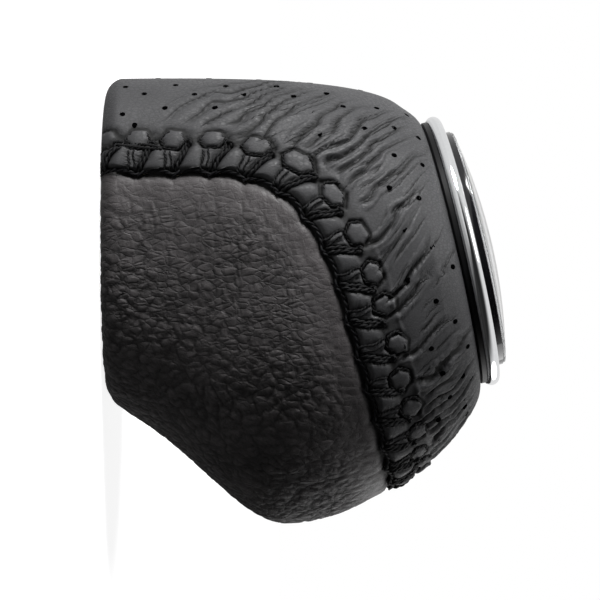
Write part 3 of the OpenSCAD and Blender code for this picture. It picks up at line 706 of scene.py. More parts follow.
def front_grid():
    """Angles and path coordinates of the front leather's columns, up to the seam's scallops."""
    half, rows = int(165 * QUALITY), int(215 * QUALITY)
    turn = seam(SEAM_TURN)
    side = seam(np.linspace(1, SEAM_TURN, 400))
    arch = seam(np.linspace(0, SEAM_TURN, 400))
    across = np.linspace(1, 0, half + 1)
    k = np.concatenate([[-2, -1.6, -1.3, -1.1, -1], np.linspace(-1, 0, 9)[1:-1], np.linspace(0, 1, rows)])
    order = np.argsort(side[:, 1])
    side_th = np.interp(np.clip(k, 0, 1) * turn[1], side[order, 1], side[order, 0])
    arch_q = np.interp(across * turn[0], arch[:, 0], arch[:, 1])
    th = across[:, None] * side_th[None]
    q = np.where(k[None] < 0, k[None], k[None] * arch_q[:, None])
    # the edges stop short of the seam, and follow its scallops
    for _ in range(2):
        share, mm = nearest_seam(outline(th, q))
        want = 0.3 - scallop(share)
        pull = np.clip(want - mm, -1.0, 1.6) * hump(mm / 2.2)
        inward = (FRONT_MIDDLE - np.stack([th, q], -1)) * [DEGREE_RUN, WALL_RUN]
        inward = inward / np.maximum(np.linalg.norm(inward, axis=-1, keepdims=True), 1e-6)
        keep = smooth((q + 0.02) / 0.04)
        th = th + np.where(np.abs(th) > 1e-6, pull * inward[..., 0] / DEGREE_RUN, 0)
        q = q + pull * inward[..., 1] / WALL_RUN * keep
    return th, q


def height_front(points, q):
    """Relief of the front leather, and the fields that draw its creases, with painted shade in its grooves
    and at the seam.
    """
    share, mm = nearest_seam(points)
    edge = -0.5 * hump(mm / 0.6)
    swell = 0.12 * hump((mm - 1.6) / 1.1) + 0.5 * (1 - hump(mm / 5.5)) - 0.3
    x = cell_of(share)[1]
    pinch = -0.22 * hump(wrap(x - STRAND_FOOT) / 0.7) * hump(mm / 1.8)
    soft = 0.1 * rough(points[..., 1] * 0.13, 11) * rough(points[..., 2] * 0.12 + 5, 12)
    pebbles, grooves = pebble(points)
    height = (edge + swell + pinch) * smooth((q + 0.02) / 0.05) + soft * smooth(q / 0.08) * smooth(mm / 5)
    height = height + pebbles * (0.35 + 0.65 * smooth((mm - 1) / 7))
    # painted shade, darker in the pebbles' grooves and along the seam
    dark = 0.45 * grooves * smooth((mm - 1) / 7) + 0.85 * hump(mm / 0.6)
    patchy = 0.75 + 0.35 * space_noise(points / 7.0, 31)
    grain = np.clip((0.3 + 0.7 * smooth((mm - 1) / 9)) * patchy, 0.2, 1)
    return height, {"painted_shade": np.clip(dark, 0, 1), "grain": grain}


def edge_strips(columns, back):
    """Faces between the outer and inner runs of the first and the last column."""
    n, m = columns.shape[:2]
    faces = []
    for first in (0, (n - 1) * m):
        for a in range(len(back) - 1):
            inner = m - 1 - a
            for j in range(back[-1 - a], back[-2 - a]):
                last = j == back[-2 - a] - 1
                face = [first + v for v in (j, j + 1, inner - 1 if last else inner, inner)]
                faces.append(list(dict.fromkeys(face[::-1] if first else face)))
    return sorted(faces, key=len)


def front_leather():
    """The closed shell over the bulge and the sides."""
    th, q = front_grid()
    base, normal = outline(th, q), outward(th, q)
    height, fields = height_front(base, q)
    outer = base + height[..., None] * normal
    rows = th.shape[1]
    back = np.linspace(rows - 1, 0, max(12, rows // 7)).astype(int)
    inner = base[:, back] - LEATHER * normal[:, back]
    columns = np.concatenate([outer, inner], axis=1)
    for label, values in fields.items():
        values = np.concatenate([values, np.zeros((len(th), len(back)))], axis=1)
        fields[label] = np.concatenate([values, values[:-1][::-1]])
    columns = np.concatenate([columns, mirrored(columns[:-1][::-1])])
    quads = grid_quads(*columns.shape[:2], False, True)
    piece = new_mesh("front_leather_skin", columns.reshape(-1, 3), quads, **fields)
    add_faces(piece, edge_strips(columns, back))
    return piece


perforated, PERF_XYZ, PERF_NORMAL, PERF_MM = perforated_leather()
front = front_leather()


# Threads
def by_the_seam(share, mm):
    """Points and normals beside the seam, none of them below the base corner."""
    place = beside_seam(np.clip(share, 0, SEAM_END), mm)
    q = np.maximum(place[..., 1], -1.0)
    return outline(place[..., 0], q), outward(place[..., 0], q)


def on_leather(share, mm, lift):
    """Points over the seam's perforated side and the surface's normals there."""
    share, mm = np.broadcast_arrays(np.asarray(share, float), np.asarray(mm, float))
    base, normal = by_the_seam(share, mm)
    height = band(np.clip(share, 0, SEAM_END), np.maximum(mm, 0))
    return base + (height + lift)[..., None] * normal, normal


def cord_frame(points, normals, closed):
    """Directions to the side of a cord and upwards from it, at each of its points."""
    if closed:
        tangent = unit(np.roll(points, -1, 0) - np.roll(points, 1, 0))
    else:
        tangent = unit(np.gradient(points, axis=0))
    side = unit(np.cross(tangent, normals))
    return side, np.cross(side, tangent)


def fan(start, sides):
    """Quads that fill a ring of points, fanned from its first point."""
    return np.array([[start + c for c in (0, j, j + 1, j + 2)] for j in range(1, sides - 2, 2)])


def tube(points, normals, radius, sides, closed, start):
    """A round tube along points; returns its vertices and quads, which are numbered from start."""
    side, up = cord_frame(points, normals, closed)
    a = whole_turn(sides)
    ring = np.cos(a)[None, :, None] * side[:, None] + np.sin(a)[None, :, None] * up[:, None]
    verts = points[:, None] + radius[:, None, None] * ring
    quads = grid_quads(len(points), sides, closed, True, start)
    if not closed:
        first, last = fan(start, sides), fan(start + (len(points) - 1) * sides, sides)
        quads = np.concatenate([quads, first, last[:, ::-1]])
    return verts.reshape(-1, 3), quads


def resample(points, step):
    """Points at even steps along a line, and their distances from its start."""
    gaps = np.linalg.norm(np.diff(points, axis=0), axis=1)
    run = np.concatenate([[0], np.cumsum(gaps)])
    n = max(6, int(run[-1] / step) + 1)
    at = np.linspace(0, run[-1], n)
    return np.stack([np.interp(at, run, points[:, c]) for c in range(points.shape[1])], -1), at


THREAD_STEP = 0.16
# Diameters: a loop, the two leaning strands, the two fine strands, a knot and the cord in the join
LOOP_D, STRAND_D, FINE_D, KNOT_D, CORD_D = 0.5, (0.7, 0.62), (0.46, 0.34), 0.62, 0.62


class Thread:
    """Collects two-ply twisted cords into one mesh."""

    def __init__(self, name):
        self.name, self.verts, self.quads, self.count = name, [], [], 0

    def ply(self, points, normals, radius, closed):
        v, q = tube(points, normals, radius, 6, closed, self.count)
        self.verts.append(v)
        self.quads.append(q)
        self.count += len(v)

    def twisted(self, points, normals, diameter, twist=1.9, closed=False, taper=False):
        """Lays two plies round each other, one turn every twist mm; taper thins both ends."""
        both = np.concatenate([points, normals], axis=1)
        if closed:
            both = np.concatenate([both, both[:1]])
        both, at = resample(both, THREAD_STEP / QUALITY)
        if closed:
            turns = max(1, round(at[-1] / twist))
            at = at / at[-1] * turns * twist
            both, at = both[:-1], at[:-1]
        p, nrm = both[:, :3], unit(both[:, 3:])
        side, up = cord_frame(p, nrm, closed)
        size = np.full(len(p), diameter / 2)
        if taper:
            ends = np.minimum(np.arange(len(p)), np.arange(len(p))[::-1]) / 3
            size = size * (0.45 + 0.55 * smooth(ends))
        for start in (0, np.pi):
            a = (2 * np.pi * at / twist + start)[:, None]
            offset = 0.46 * size[:, None] * (np.cos(a) * side + np.sin(a) * up)
            self.ply(p + offset, nrm, size * 0.56, closed)

    def build(self):
        return new_mesh(self.name, np.concatenate(self.verts), np.concatenate(self.quads))


HEXAGON = np.array([[1.1, 0.0], [0.58, 1.02], [-0.58, 1.02], [-1.1, 0.0], [-0.58, -1.02], [0.58, -1.02]])


def both_sides(thread, p, n, diameter, **how):
    """A cord on the right side of the knob and its mirror image on the left."""
    thread.twisted(p, n, diameter, **how)
    thread.twisted(mirrored(p), mirrored(n), diameter, **how)


def loops():
    """Six-sided loops of the perforated leather's edge stitches, drawn into it."""
    thread = Thread("loop_thread")
    for i in range(STITCHES):
        shift, reach, along, away = loop_shape(i)
        fine = np.concatenate([np.linspace(HEXAGON[c], HEXAGON[(c + 1) % 6], 9)[:-1] for c in range(6)])
        fine = (fine + np.roll(fine, 1, 0) + np.roll(fine, -1, 0)) / 3
        turn = loop_tilt(i)
        c, s = np.cos(turn), np.sin(turn)
        fine = fine * [along * 1.06, away * 1.06] @ [[c, s], [-s, c]]
        share = (i + 0.5) / STITCHES + (shift + fine[:, 0]) / SEAM_LENGTH
        p, n = on_leather(share, reach + fine[:, 1], 0.08)
        both_sides(thread, p, n, LOOP_D, closed=True, twist=1.3)
    return thread.build()


def strand(thread, i, x, mm, lift, diameter, **how):
    """A tapered strand on both sides, x mm along the seam from a stitch's middle and mm away from it."""
    share = (i + 0.5) / STITCHES + x / SEAM_LENGTH
    if share.min() > 0.001 and share.max() <= SEAM_END:
        both_sides(thread, *on_leather(share, mm, lift), diameter, taper=True, **how)


def lacing():
    """Leaning double strands from the join up to the knots between the loops."""
    thread = Thread("lacing_thread_twist")
    k = np.linspace(0, 1, 26)
    climb = -0.2 + (STRAND_REACH + 0.2) * k
    rise = 0.2 + 0.22 * np.sin(np.pi * k)
    turn = np.linspace(-0.5, 1.6 * np.pi, 22)
    for i in range(STITCHES + 1):
        _, reach, _, away = loop_shape(i)
        sway = 0.1 * np.sin(climb * 2.3 + i * 1.7)
        for part, d in zip((-0.34, 0.34), STRAND_D):
            strand(thread, i, strand_x(climb) + part * (1 - 0.45 * k) + sway, climb, rise, d)
        # two fine strands under the loop
        mm = np.linspace(0.0, reach - away, 16)
        for x, d in zip((FOLD_X - 0.1, FOLD_X - 0.85), FINE_D):
            strand(thread, i, x + 0.15 * np.sin(mm * 1.9 + i), mm, 0.06, d, twist=1.1)
        # the knot beside the loop
        knot_x, knot_mm = STRAND_TOP + 0.15 + 0.42 * np.cos(turn), STRAND_REACH + 0.05 + 0.36 * np.sin(turn)
        strand(thread, i, knot_x, knot_mm, 0.3, KNOT_D, twist=1.0)
    return thread.build()


def join_cord():
    """The cord of the front leather's edge stitches, sunk in the join."""
    thread = Thread("join_thread")
    share = np.linspace(0.0, SEAM_END - 0.003, 740)
    base, n = by_the_seam(share, scallop(share))
    p = base - 0.22 * n
    both_p = np.concatenate([mirrored(p[1:][::-1]), p])
    both_n = np.concatenate([mirrored(n[1:][::-1]), n])
    thread.twisted(both_p, both_n, CORD_D, twist=2.2)
    return thread.build()


loop_thread = loops()
lacing_twist = lacing()
join_thread = join_cord()


# Holes in the leather
HOLE_PITCH = 7.5
HOLE_HALF_WIDTH, HOLE_HALF_HEIGHT, HOLE_SINK = 0.36, 0.4, 0.12
# A hole nearer to the seam than the first of these would lie in its pads, and one farther than the second
# from every point of the perforated leather would lie on the front leather
HOLE_CLEAR, HOLE_STRAY = 6.4, 1.1
# Rows up the rear half, as the photograph shows them: the first hole's height, and each hole's place along Y
SIDE_ROWS = (
    (2.6, (-22.9, -23.2, -23.0, -23.0, -22.0, -19.8)),
    (5.2, (-21.9, -21.8, -21.8, -21.6, -19.9, -16.8)),
    (0.8, (-18.9, -19.8, -19.8, -20.1, -19.1, -16.6)),
    (3.8, (-17.2,)),
)
# Holes between the gathers and the cap, seen the same way, from rear to front: height and place along Y
CAP_HOLES = (
    (31.6, -16), (44.7, -18.7), (46.4, -15.3), (42.7, -12.7), (47, -11.2), (42, -7.8), (46.5, -6.4),
    (44.5, -1.5), (48.5, 1), (51.5, 4), (45, 6), (49, 9.2), (52, 12.3), (48.3, 16.4), (53.8, 16), (50, 20),
    (54.5, 20.7), (51, 23.5), (53.5, 25),
)
# Rows up the rear, which no side view shows: place along X, height of the first hole, and their number
REAR_ROWS = ((0, 5.0, 6), (3.9, 7.6, 5))
# Rows round the front, which none shows either: first angle, path coordinate, and their number
FRONT_ROWS = ((46, 0.9, 4), (39, 0.81, 3))
FRONT_STEP = 14


def hole_places():
    """Angle and path coordinate of each hole on the right side."""
    angles, q = np.meshgrid(np.linspace(0, 180, 721), np.linspace(0.01, 0.99, 393), indexing="ij")
    x, y, z = np.moveaxis(outline(angles, q), -1, 0)
    nearer = VIEW_FROM / (VIEW_FROM - x)
    look_y, look_z = VIEW_Y + (y - VIEW_Y) * nearer, VIEW_Z + (z - VIEW_Z) * nearer

    def nearest(off):
        k = np.unravel_index(off.argmin(), off.shape)
        return angles[k], q[k]

    seen = [(low + HOLE_PITCH * i, along) for low, row in SIDE_ROWS for i, along in enumerate(row)]
    places = [nearest((look_y - along) ** 2 + (look_z - high) ** 2) for high, along in [*seen, *CAP_HOLES]]
    for right, low, count in REAR_ROWS:
        for high in low + HOLE_PITCH * np.arange(count):
            places.append(nearest((x - right) ** 2 + (z - high) ** 2 + 1000 * (y > 0)))
    for angle, at, count in FRONT_ROWS:
        places += [(angle - FRONT_STEP * k, at) for k in range(count)]
    return places


def holes():
    """Dark sunk discs on the leather at each place, and on the other side too, painted shade in the holes."""
    pts, quads, count = [], [], 0
    leather_xyz, leather_n = PERF_XYZ.reshape(-1, 3), PERF_NORMAL.reshape(-1, 3)
    sides = 12
    a = whole_turn(sides)
    for angle, q in hole_places():
        p = outline(angle, q)
        d = ((leather_xyz - p) ** 2).sum(1)
        k = d.argmin()
        if d[k] > HOLE_STRAY**2 or PERF_MM.flat[k] < HOLE_CLEAR:
            continue
        n = unit(leather_n[k])
        centre = p + n * ((leather_xyz[k] - p) @ n)
        side = unit(np.cross(n, [0, 0, 1.0]))
        up = np.cross(n, side)
        disc = np.cos(a)[:, None] * side * HOLE_HALF_WIDTH + np.sin(a)[:, None] * up * HOLE_HALF_HEIGHT
        lean = 1 + 0.25 * np.sin(a + 5 * hashed(count, 3))[:, None]
        rings = [centre - n * HOLE_SINK + 1.1 * disc, centre + n * 0.05 + disc * lean,
                 centre + n * 0.03 + disc * 0.4]
        ring_points = np.concatenate(rings)
        # a hole on the middle line has no mirror image
        for each in (ring_points, mirrored(ring_points))[: 1 if p[0] < HOLE_HALF_HEIGHT else 2]:
            quads += [grid_quads(3, sides, False, True, count), fan(count + 2 * sides, sides)]
            pts.append(each)
            count += len(each)
    return new_mesh("perforations", np.concatenate(pts), np.concatenate(quads))


perforations = holes()


# Turned parts of the cap
def softened(profile, cut):
    """A closed profile whose corners are rounded over a length of cut."""
    profile = [np.asarray(p, float) for p in profile]
    out = []
    for i, p in enumerate(profile):
        before, after = profile[i - 1] - p, profile[(i + 1) % len(profile)] - p
        reach = min(cut, 0.45 * np.linalg.norm(before), 0.45 * np.linalg.norm(after))
        a, b = p + reach * unit(before), p + reach * unit(after)
        turn = (unit(before) * unit(after)).sum()
        if p[0] < 1e-6 or turn < -0.97:
            out.append(p)
            continue
        for k in (0, 0.25, 0.5, 0.75, 1):
            out.append((1 - k) ** 2 * a + 2 * k * (1 - k) * p + k * k * b)
    return np.array(out)


def turned(name, profile, around=240):
    """A solid turned about the cap's axis from a profile of [radius, height above the seat]."""
    turn = whole_turn(around)
    on_axis = profile[:, 0] < 1e-6
    rim = profile[~on_axis]
    across_x, out = [rim[None, :, 0] * way[:, None] for way in (np.cos(turn), np.sin(turn))]
    y, z = [CAP_SEAT[c] + out * CAP_OUT[c] + rim[None, :, 1] * CAP_UP[c] for c in (0, 1)]
    points = np.stack([across_x, y, z], -1)
    quads = grid_quads(around, len(rim), True, not on_axis.any())
    piece = new_mesh(name, points.reshape(-1, 3), quads)
    ends = []
    if on_axis.any():
        ends = [[k * len(rim) + row for k in range(around)] for row in (0, len(rim) - 1)]
    add_faces(piece, ends)
    return piece


def dome_profile():
    """The lens: a flat foot, a short upright edge and a ball's cap."""
    ball = (DOME_R**2 + DOME_RISE**2) / (2 * DOME_RISE)
    top = DOME_LOW + DOME_EDGE + DOME_RISE
    angles = np.linspace(math.asin(DOME_R / ball), math.asin(0.25 / ball), 30)
    arc = [[ball * math.sin(a), top - ball * (1 - math.cos(a))] for a in angles]
    foot = [[0, DOME_LOW], [0.25, DOME_LOW], [DOME_R - 0.08, DOME_LOW], [DOME_R, DOME_LOW + 0.08]]
    return np.array(foot + arc + [[0, top]])


def ring_profile():
    """The chrome ring: a round outer lip, a bore, and a step over the carrier's flange."""
    lip, half = 0.45 * RING_T, RING_T / 2
    arc = [[RING_R - lip + lip * math.cos(a), RING_LOW + half + half * math.sin(a)]
           for a in np.radians(np.linspace(-57, 72, 41))]
    high, gap = RING_LOW + RING_T, 0.03
    inside = [[RING_R - lip, high], [RING_BORE_R + 0.4, high], [RING_BORE_R, high - 0.4],
              [RING_BORE_R, FLANGE_TOP + gap], [FLANGE_R - FLANGE_CUT, FLANGE_TOP + gap]]
    return np.array(arc + inside)


def disc_profile():
    """The black disc, with a thin rim that reaches down inside the ring."""
    high, bore = DISC_LOW + DISC_T, DISC_R - DISC_RIM_T
    return softened([[0, DISC_LOW], [bore, DISC_LOW], [bore, DISC_RIM_LOW], [DISC_R, DISC_RIM_LOW],
                     [DISC_R, high], [0, high]], 0.12)


ring = turned("chrome_ring_polished", ring_profile())
disc = turned("pattern_disc_gloss", disc_profile())
dome = turned("dome_lens_clear", dome_profile(), 720)


# Materials
class Tree:
    """Builds shader nodes. A value is the socket of a node made before, or a number where math takes it."""

    def __init__(self, tree):
        self.tree = tree

    def add(self, kind, links=None, **values):
        """A node whose sockets take the links, with values for its settings or its other sockets."""
        node = self.tree.nodes.new(kind)
        for key, value in values.items():
            if hasattr(node, key):
                setattr(node, key, value)
            else:
                node.inputs[key.replace("_", " ")].default_value = value
        for key, source in (links or {}).items():
            self.tree.links.new(source, node.inputs[key])
        return node

    def math(self, operation, *values):
        node = self.add("ShaderNodeMath", operation=operation)
        for socket, value in zip(node.inputs, values):
            if isinstance(value, (int, float)):
                socket.default_value = value
            else:
                self.tree.links.new(value, socket)
        return node.outputs[0]

    def plus(self, a, b):
        return self.math("ADD", a, b)

    def less(self, a, b):
        return self.math("SUBTRACT", a, b)

    def times(self, a, b):
        return self.math("MULTIPLY", a, b)

    def inverse(self, value):
        return self.less(1.0, value)

    def remap(self, value, start, end, low, high, ease="LINEAR"):
        """low where value is start, going to high where it is end."""
        limits = {"From_Min": start, "From_Max": end, "To_Min": low, "To_Max": high}
        return self.add("ShaderNodeMapRange", {"Value": value}, interpolation_type=ease, **limits).outputs[0]

    def fall(self, value, start, end):
        """1 below start, easing to 0 at end."""
        return self.remap(value, start, end, 1.0, 0.0, "SMOOTHSTEP")

    def ramp(self, factor, stops):
        node = self.add("ShaderNodeValToRGB", {"Fac": factor})
        ramp = node.color_ramp
        while len(ramp.elements) < len(stops):
            ramp.elements.new(0.5)
        for element, (at, colour) in zip(ramp.elements, stops):
            element.position = at
            element.color = (*colour, 1)
        return node.outputs["Color"]

    def place(self, scale=(1, 1, 1)):
        """Object coordinates in mm, times scale."""
        coord = self.add("ShaderNodeTexCoord").outputs["Object"]
        node = self.add("ShaderNodeMapping", {"Vector": coord}, Scale=[s / MM for s in scale])
        return node.outputs["Vector"]

    def attribute(self, label):
        return self.add("ShaderNodeAttribute", attribute_name=label).outputs["Fac"]

    def noise(self, vector, scale, detail, roughness=0.55):
        values = {"Scale": scale, "Detail": detail, "Roughness": roughness}
        return self.add("ShaderNodeTexNoise", {"Vector": vector}, **values).outputs["Fac"]

    def cells(self, vector, scale, feature):
        node = self.add("ShaderNodeTexVoronoi", {"Vector": vector}, feature=feature, Scale=scale)
        return node.outputs["Distance"]

    def warped(self, vector, amount, scale):
        """A vector pushed about by noise, by up to half of amount each way."""
        noise = self.add("ShaderNodeTexNoise", {"Vector": vector}, Scale=scale, Detail=2)
        push = self.add("ShaderNodeVectorMath", {0: noise.outputs["Color"]}, operation="MULTIPLY_ADD")
        push.inputs[1].default_value = [amount] * 3
        push.inputs[2].default_value = [-amount / 2] * 3
        return self.add("ShaderNodeVectorMath", {0: vector, 1: push.outputs[0]}, operation="ADD").outputs[0]

    def bump(self, height, distance_mm, strength=1.0, after=None):
        links = {"Height": height}
        if after is not None:
            links["Normal"] = after
        node = self.add("ShaderNodeBump", links, Strength=strength, Distance=distance_mm * MM)
        return node.outputs["Normal"]

    def either(self, factor, first, second):
        """The first shader where factor is 0 and the second where it is 1."""
        return self.add("ShaderNodeMixShader", {0: factor, 1: first, 2: second}).outputs[0]


class Finish(Tree):
    """The nodes of one material."""

    def __init__(self, name):
        self.material = bpy.data.materials.new(name)
        self.material.use_nodes = True
        super().__init__(self.material.node_tree)

    def done(self, links, **values):
        """Feeds the surface shader, sets its other values and returns the material."""
        shader = self.tree.nodes["Principled BSDF"]
        for socket, source in links.items():
            self.tree.links.new(source, shader.inputs[socket])
        for key, value in values.items():
            shader.inputs[key.replace("_", " ")].default_value = value
        return self.material


def scaled(colour, share):
    return [min(1, c * share) for c in colour]


def leather_material(name, cell_mm, cell_depth, dark, light, grain_mm, gloss, matte, lines=(), grain=""):
    """Leather that paints shade into its creases: an attribute darkens and dulls them.

    grain names an attribute that says how strongly the cells show at each place.

    lines holds [phase, strength, spacing, width, depth] of fine creases that run along the
    whole numbers of a phase attribute, bumped in and darkened with painted shade.
    """
    n = Finish(name)
    where = n.place()
    bent = n.warped(n.place((1, 1.25, 0.72)), 0.9 * cell_mm, 0.45 / cell_mm)
    bent = n.warped(bent, 0.35 * cell_mm, 2.2 / cell_mm)
    levels = ((0.0, 0.1), (0.1, 0.5), (0.28, 0.88), (0.6, 1))
    edges = n.cells(bent, 1 / cell_mm, "DISTANCE_TO_EDGE")
    plateau = n.ramp(edges, [(at, (level,) * 3) for at, level in levels])
    if grain:
        plateau = n.inverse(n.times(n.inverse(plateau), n.attribute(grain)))
    # the grain's cell borders are darker: painted shade in its grooves
    grain_shade = n.plus(0.5, n.times(plateau, 0.5))
    fine = n.noise(where, 1 / grain_mm, 4, 0.65)
    pores = n.cells(where, 0.9 / grain_mm, "F1")
    normal = n.bump(plateau, cell_depth)
    normal = n.bump(fine, 0.035, 0.9, normal)
    normal = n.bump(pores, 0.025, 0.6, normal)
    depth = n.attribute("painted_shade")
    # each fine crease is bumped in and darkened with painted shade
    for phase, strength, spacing, width, deep in lines:
        whole = n.math("FRACT", n.plus(n.attribute(phase), 0.5))
        off = n.times(n.math("ABSOLUTE", n.less(whole, 0.5)), spacing)
        shown = n.math("MINIMUM", n.times(n.attribute(strength), 2.2), 1.0)
        line = n.times(n.fall(off, 0.0, width), shown)
        depth = n.math("MAXIMUM", depth, line)
        normal = n.bump(n.inverse(line), deep, 1.0, normal)
    # and painted shade in the grooves beside the loops' threads
    if lines:
        edge = n.math("ABSOLUTE", n.less(n.attribute("loop_level"), LOOP_EDGE + 0.02))
        depth = n.math("MAXIMUM", depth, n.fall(edge, 0.1, 0.3))
    wear = n.noise(where, 0.16, 4)
    # the colour's level mixes the grain's painted groove shade with fine grain and wear
    shade = n.plus(n.times(grain_shade, 0.35), n.times(fine, 0.5))
    shade = n.plus(shade, n.times(wear, 0.35))
    # painted shade pulls the colour down towards the crease black
    unshaded = n.inverse(n.times(depth, 0.95))
    base = n.ramp(n.times(shade, unshaded), [(0.05, CREASE_SHADE_BLACK), (0.35, dark), (1.0, light)])
    polish = n.times(fine, n.times(plateau, unshaded))
    rough_map = n.remap(polish, 0.05, 0.6, matte, gloss)
    links = {"Base Color": base, "Roughness": rough_map, "Normal": normal}
    return n.done(links, Specular_IOR_Level=0.4, IOR=1.46)


def thread_material(name, colour):
    n = Finish(name)
    fibre = n.noise(n.place(), 1 / FIBRE_MM, 3, 0.7)
    base = n.ramp(fibre, [(0.3, scaled(colour, 0.6)), (0.7, scaled(colour, 1.5))])
    return n.done({"Base Color": base, "Normal": n.bump(fibre, 0.03)}, Roughness=0.6, Specular_IOR_Level=0.15)


def plastic_material(name, colour, dull, grain_mm=0.25, depth=0.006, shine=0.5):
    n = Finish(name)
    where = n.place()
    fine = n.noise(where, 1 / grain_mm, 4, 0.6)
    base = n.ramp(n.noise(where, 0.12, 3), [(0.3, scaled(colour, 0.85)), (0.7, scaled(colour, 1.15))])
    rough_map = n.remap(fine, 0.0, 1.0, max(0.02, dull - 0.06), dull + 0.06)
    links = {"Base Color": base, "Roughness": rough_map, "Normal": n.bump(fine, depth)}
    return n.done(links, Specular_IOR_Level=shine)


def metal_material(name, colour, dull, brushed=(1, 1, 1), depth=0.004):
    n = Finish(name)
    streak = n.noise(n.place(brushed), 2.2, 4, 0.6)
    base = n.ramp(streak, [(0.3, scaled(colour, 0.94)), (0.7, colour)])
    rough_map = n.remap(streak, 0.0, 1.0, max(0.01, dull * 0.8), dull * 1.2)
    return n.done({"Base Color": base, "Roughness": rough_map, "Normal": n.bump(streak, depth)}, Metallic=1.0)


def lens_material():
    n = Finish("clear_lens")
    base = n.ramp(n.noise(n.place(), 0.08, 2), [(0.3, (0.76, 0.765, 0.77)), (0.7, (0.8, 0.805, 0.81))])
    return n.done({"Base Color": base}, Roughness=0.05, Transmission_Weight=1.0, IOR=1.49)


# the colour of the deepest painted shade in creases
CREASE_SHADE_BLACK = (0.0012, 0.0012, 0.0013)
FIBRE_MM = 0.09

PERFORATED = leather_material(
    "perforated_leather_finish", cell_mm=0.55, cell_depth=0.009, dark=(0.02, 0.02, 0.021),
    light=(0.055, 0.055, 0.058), grain_mm=0.12, gloss=0.36, matte=0.7,
    lines=(("fold_phase", "fold_strength", FOLD_SPACING, 0.26, 0.14),
           ("wrinkle_phase", "wrinkle_strength", WRINKLE_SPACING, 0.13, 0.06)),
)
PEBBLED = leather_material(
    "pebbled_leather_finish", cell_mm=1.2, cell_depth=0.15, dark=(0.009, 0.0082, 0.0083),
    light=(0.115, 0.106, 0.108), grain_mm=0.16, gloss=0.38, matte=0.75, grain="grain",
)
THREAD = thread_material("waxed_thread", (0.005, 0.005, 0.0055))
LOOP_THREAD = thread_material("loop_thread_black", (0.003, 0.003, 0.0033))
THREAD_DARK = thread_material("join_thread_black", (0.006, 0.006, 0.007))
# painted shade that fills each hole
HOLE = plastic_material("hole_shadow", (0.0008, 0.0008, 0.0009), 0.9, shine=0.0)
BLACK = plastic_material("satin_black_plastic", (0.006, 0.006, 0.0065), 0.42, shine=0.12)
MATTE = plastic_material("moulded_black_plastic", (0.02, 0.02, 0.021), 0.55, 0.35, 0.02, shine=0.25)
GLOSS = plastic_material("gloss_black_disc", (0.006, 0.006, 0.007), 0.08, 2.0, 0.0001)
CHROME = metal_material("polished_chrome", (0.86, 0.87, 0.88), 0.06, depth=0.0001)
STEEL = metal_material("turned_steel", (0.56, 0.56, 0.55), 0.28, (0.4, 0.4, 6))
CAST = metal_material("cast_weight", (0.3, 0.3, 0.31), 0.5)
ZINC = metal_material("zinc_screws", (0.6, 0.6, 0.57), 0.3)
FOAM = plastic_material("foam", (0.5, 0.45, 0.33), 0.9, 0.5, 0.12)
TAPE = plastic_material("tape", (0.75, 0.74, 0.7), 0.6)
LENS = lens_material()


def dress(piece, material):
    piece.data.materials.clear()
    piece.data.materials.append(material)


for name, material in {
    "foam_padding": FOAM, "core": MATTE, "threaded_insert": STEEL, "ballast_weight": CAST,
    "weight_screws": ZINC, "base_cover": MATTE, "base_screws": ZINC, "cap_carrier": BLACK,
    "adhesive_ring": TAPE,
}.items():
    dress(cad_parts[name], material)

for piece, material, node, slot in (
    (perforated, PERFORATED, "perforated_leather", "perforated_leather"),
    (front, PEBBLED, "front_leather", "front_leather"),
    (loop_thread, LOOP_THREAD, "rear_edge_thread", "rear_edge_thread"),
    (lacing_twist, THREAD, "lacing_thread", "lacing_thread"),
    (join_thread, THREAD_DARK, "front_edge_thread", "front_edge_thread"),
    (perforations, HOLE, None, "perforated_leather"),
    (ring, CHROME, "chrome_ring", "chrome_ring"),
    (disc, GLOSS, "pattern_disc", "pattern_disc"),
    (dome, LENS, "dome_lens", "dome_lens"),
):
    dress(piece, material)
    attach(piece, "root")
    if node:
        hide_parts(node)


# Floor, light and camera, in metres
FLOOR_REACH, FLOOR_HEIGHT = 3.0, -0.00006
WHITE = (1, 1, 1, 1)
MIDDLE = (0, 0.009, 0.029)
# Name, place, width and power of each lamp
LAMPS = (
    ("key_from_rear", (0.27, -0.57, 0.14), 0.24, 6.6),
    ("cap_side", (0.12, -0.2, 0.6), 0.3, 1.8),
    ("far_rim", (-0.34, 0.42, 0.2), 0.36, 0.45),
)
SENSOR_WIDTH = 36


def stage_floor():
    """A floor that looks white, and throws little light back on the knob."""
    mesh = bpy.data.meshes.new("floor")
    r, low = FLOOR_REACH, FLOOR_HEIGHT
    mesh.from_pydata([(-r, -r, low), (r, -r, low), (r, r, low), (-r, r, low)], [], [(0, 1, 2, 3)])
    floor = add_object("floor", mesh)
    n = Finish("floor_white")
    n.tree.nodes.remove(n.tree.nodes["Principled BSDF"])
    coord = n.add("ShaderNodeTexCoord").outputs["Object"]
    path = n.add("ShaderNodeLightPath")
    reach = n.add("ShaderNodeVectorMath", {0: coord}, operation="LENGTH").outputs["Value"]
    along = n.add("ShaderNodeSeparateXYZ", {0: coord}).outputs["Y"]

    def lit(strength):
        return n.add("ShaderNodeEmission", {"Strength": strength}, Color=WHITE).outputs[0]

    def matt(level):
        return n.add("ShaderNodeBsdfDiffuse", Color=(level, level, level, 1)).outputs[0]

    # it brightens with distance, so that no horizon shows
    glow = lit(n.remap(reach, 0.1, 0.45, 0.86, 1.0))
    white = n.add("ShaderNodeAddShader", {0: matt(0.8), 1: glow}).outputs[0]
    # glossy parts see it bright at the rear and dark at the front
    sheen = lit(n.remap(along, -0.1, 0.08, 0.75, 0.03))
    other = n.either(path.outputs["Is Glossy Ray"], matt(0.22), sheen)
    shown = n.either(path.outputs["Is Camera Ray"], other, white)
    n.tree.links.new(shown, n.tree.nodes["Material Output"].inputs["Surface"])
    floor.data.materials.append(n.material)


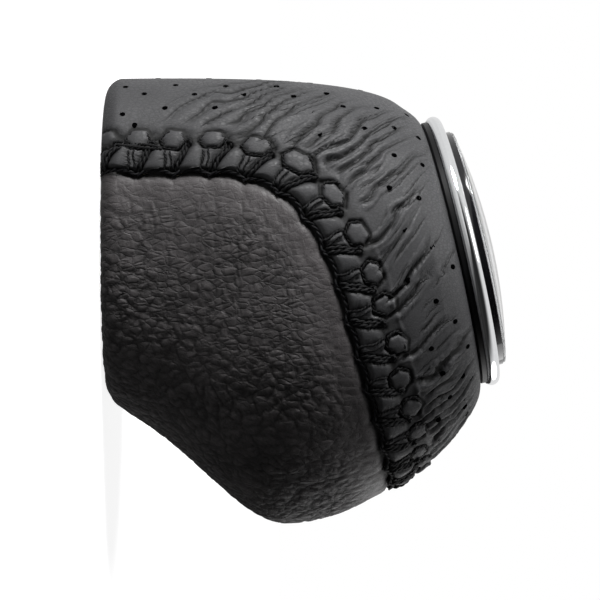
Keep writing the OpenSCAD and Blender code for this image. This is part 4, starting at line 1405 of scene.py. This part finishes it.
def world_light():
    """A bright studio whose side behind the camera is dark, and a plain white backdrop."""
    world = bpy.data.worlds.new("studio")
    bpy.context.scene.world = world
    world.use_nodes = True
    world.node_tree.nodes.clear()
    n = Tree(world.node_tree)
    path = n.add("ShaderNodeLightPath")
    coord = n.add("ShaderNodeTexCoord").outputs["Generated"]
    axes = n.add("ShaderNodeSeparateXYZ", {0: coord})
    upright = n.times(n.math("ABSOLUTE", axes.outputs["Z"]), 0.6)
    level = n.less(upright, n.times(axes.outputs["Y"], 0.5))
    level = n.less(level, axes.outputs["X"])
    room = n.remap(level, -0.6, 0.35, 0.02, 0.8, "SMOOTHSTEP")
    soft = n.add("ShaderNodeBackground", Color=WHITE, Strength=0.025).outputs[0]
    mirror = n.add("ShaderNodeBackground", {"Strength": room}, Color=WHITE).outputs[0]
    backdrop = n.add("ShaderNodeBackground", Color=WHITE).outputs[0]
    seen = n.math("MAXIMUM", path.outputs["Is Camera Ray"], path.outputs["Is Transmission Ray"])
    shown = n.either(seen, n.either(path.outputs["Is Glossy Ray"], soft, mirror), backdrop)
    n.add("ShaderNodeOutputWorld", {"Surface": shown})


def area_light(name, place, size, power):
    """A round lamp that points at the middle of the knob."""
    data = bpy.data.lights.new(name, "AREA")
    data.shape = "DISK"
    data.size = size
    data.energy = power
    lamp = add_object(name, data)
    lamp.location = place
    lamp.rotation_euler = (Vector(MIDDLE) - Vector(place)).to_track_quat("-Z", "Y").to_euler()


def photo_camera():
    """The knob lies on its side in the picture: its lever axis runs to the right and its front down."""
    data = bpy.data.cameras.new("camera")
    data.sensor_width = SENSOR_WIDTH
    data.lens = SENSOR_WIDTH * VIEW_FROM / VIEW_WIDTH
    camera = add_object("camera", data)
    right, up = Vector((0, 0, 1)), Vector((0, -1, 0))
    turned_so = Matrix((right, up, right.cross(up))).transposed().to_4x4()
    camera.matrix_world = Matrix.Translation([v * MM for v in (VIEW_FROM, VIEW_Y, VIEW_Z)]) @ turned_so
    bpy.context.scene.camera = camera


stage_floor()
world_light()
for lamp in LAMPS:
    area_light(*lamp)
photo_camera()
bpy.context.scene.view_settings.view_transform = "Standard"
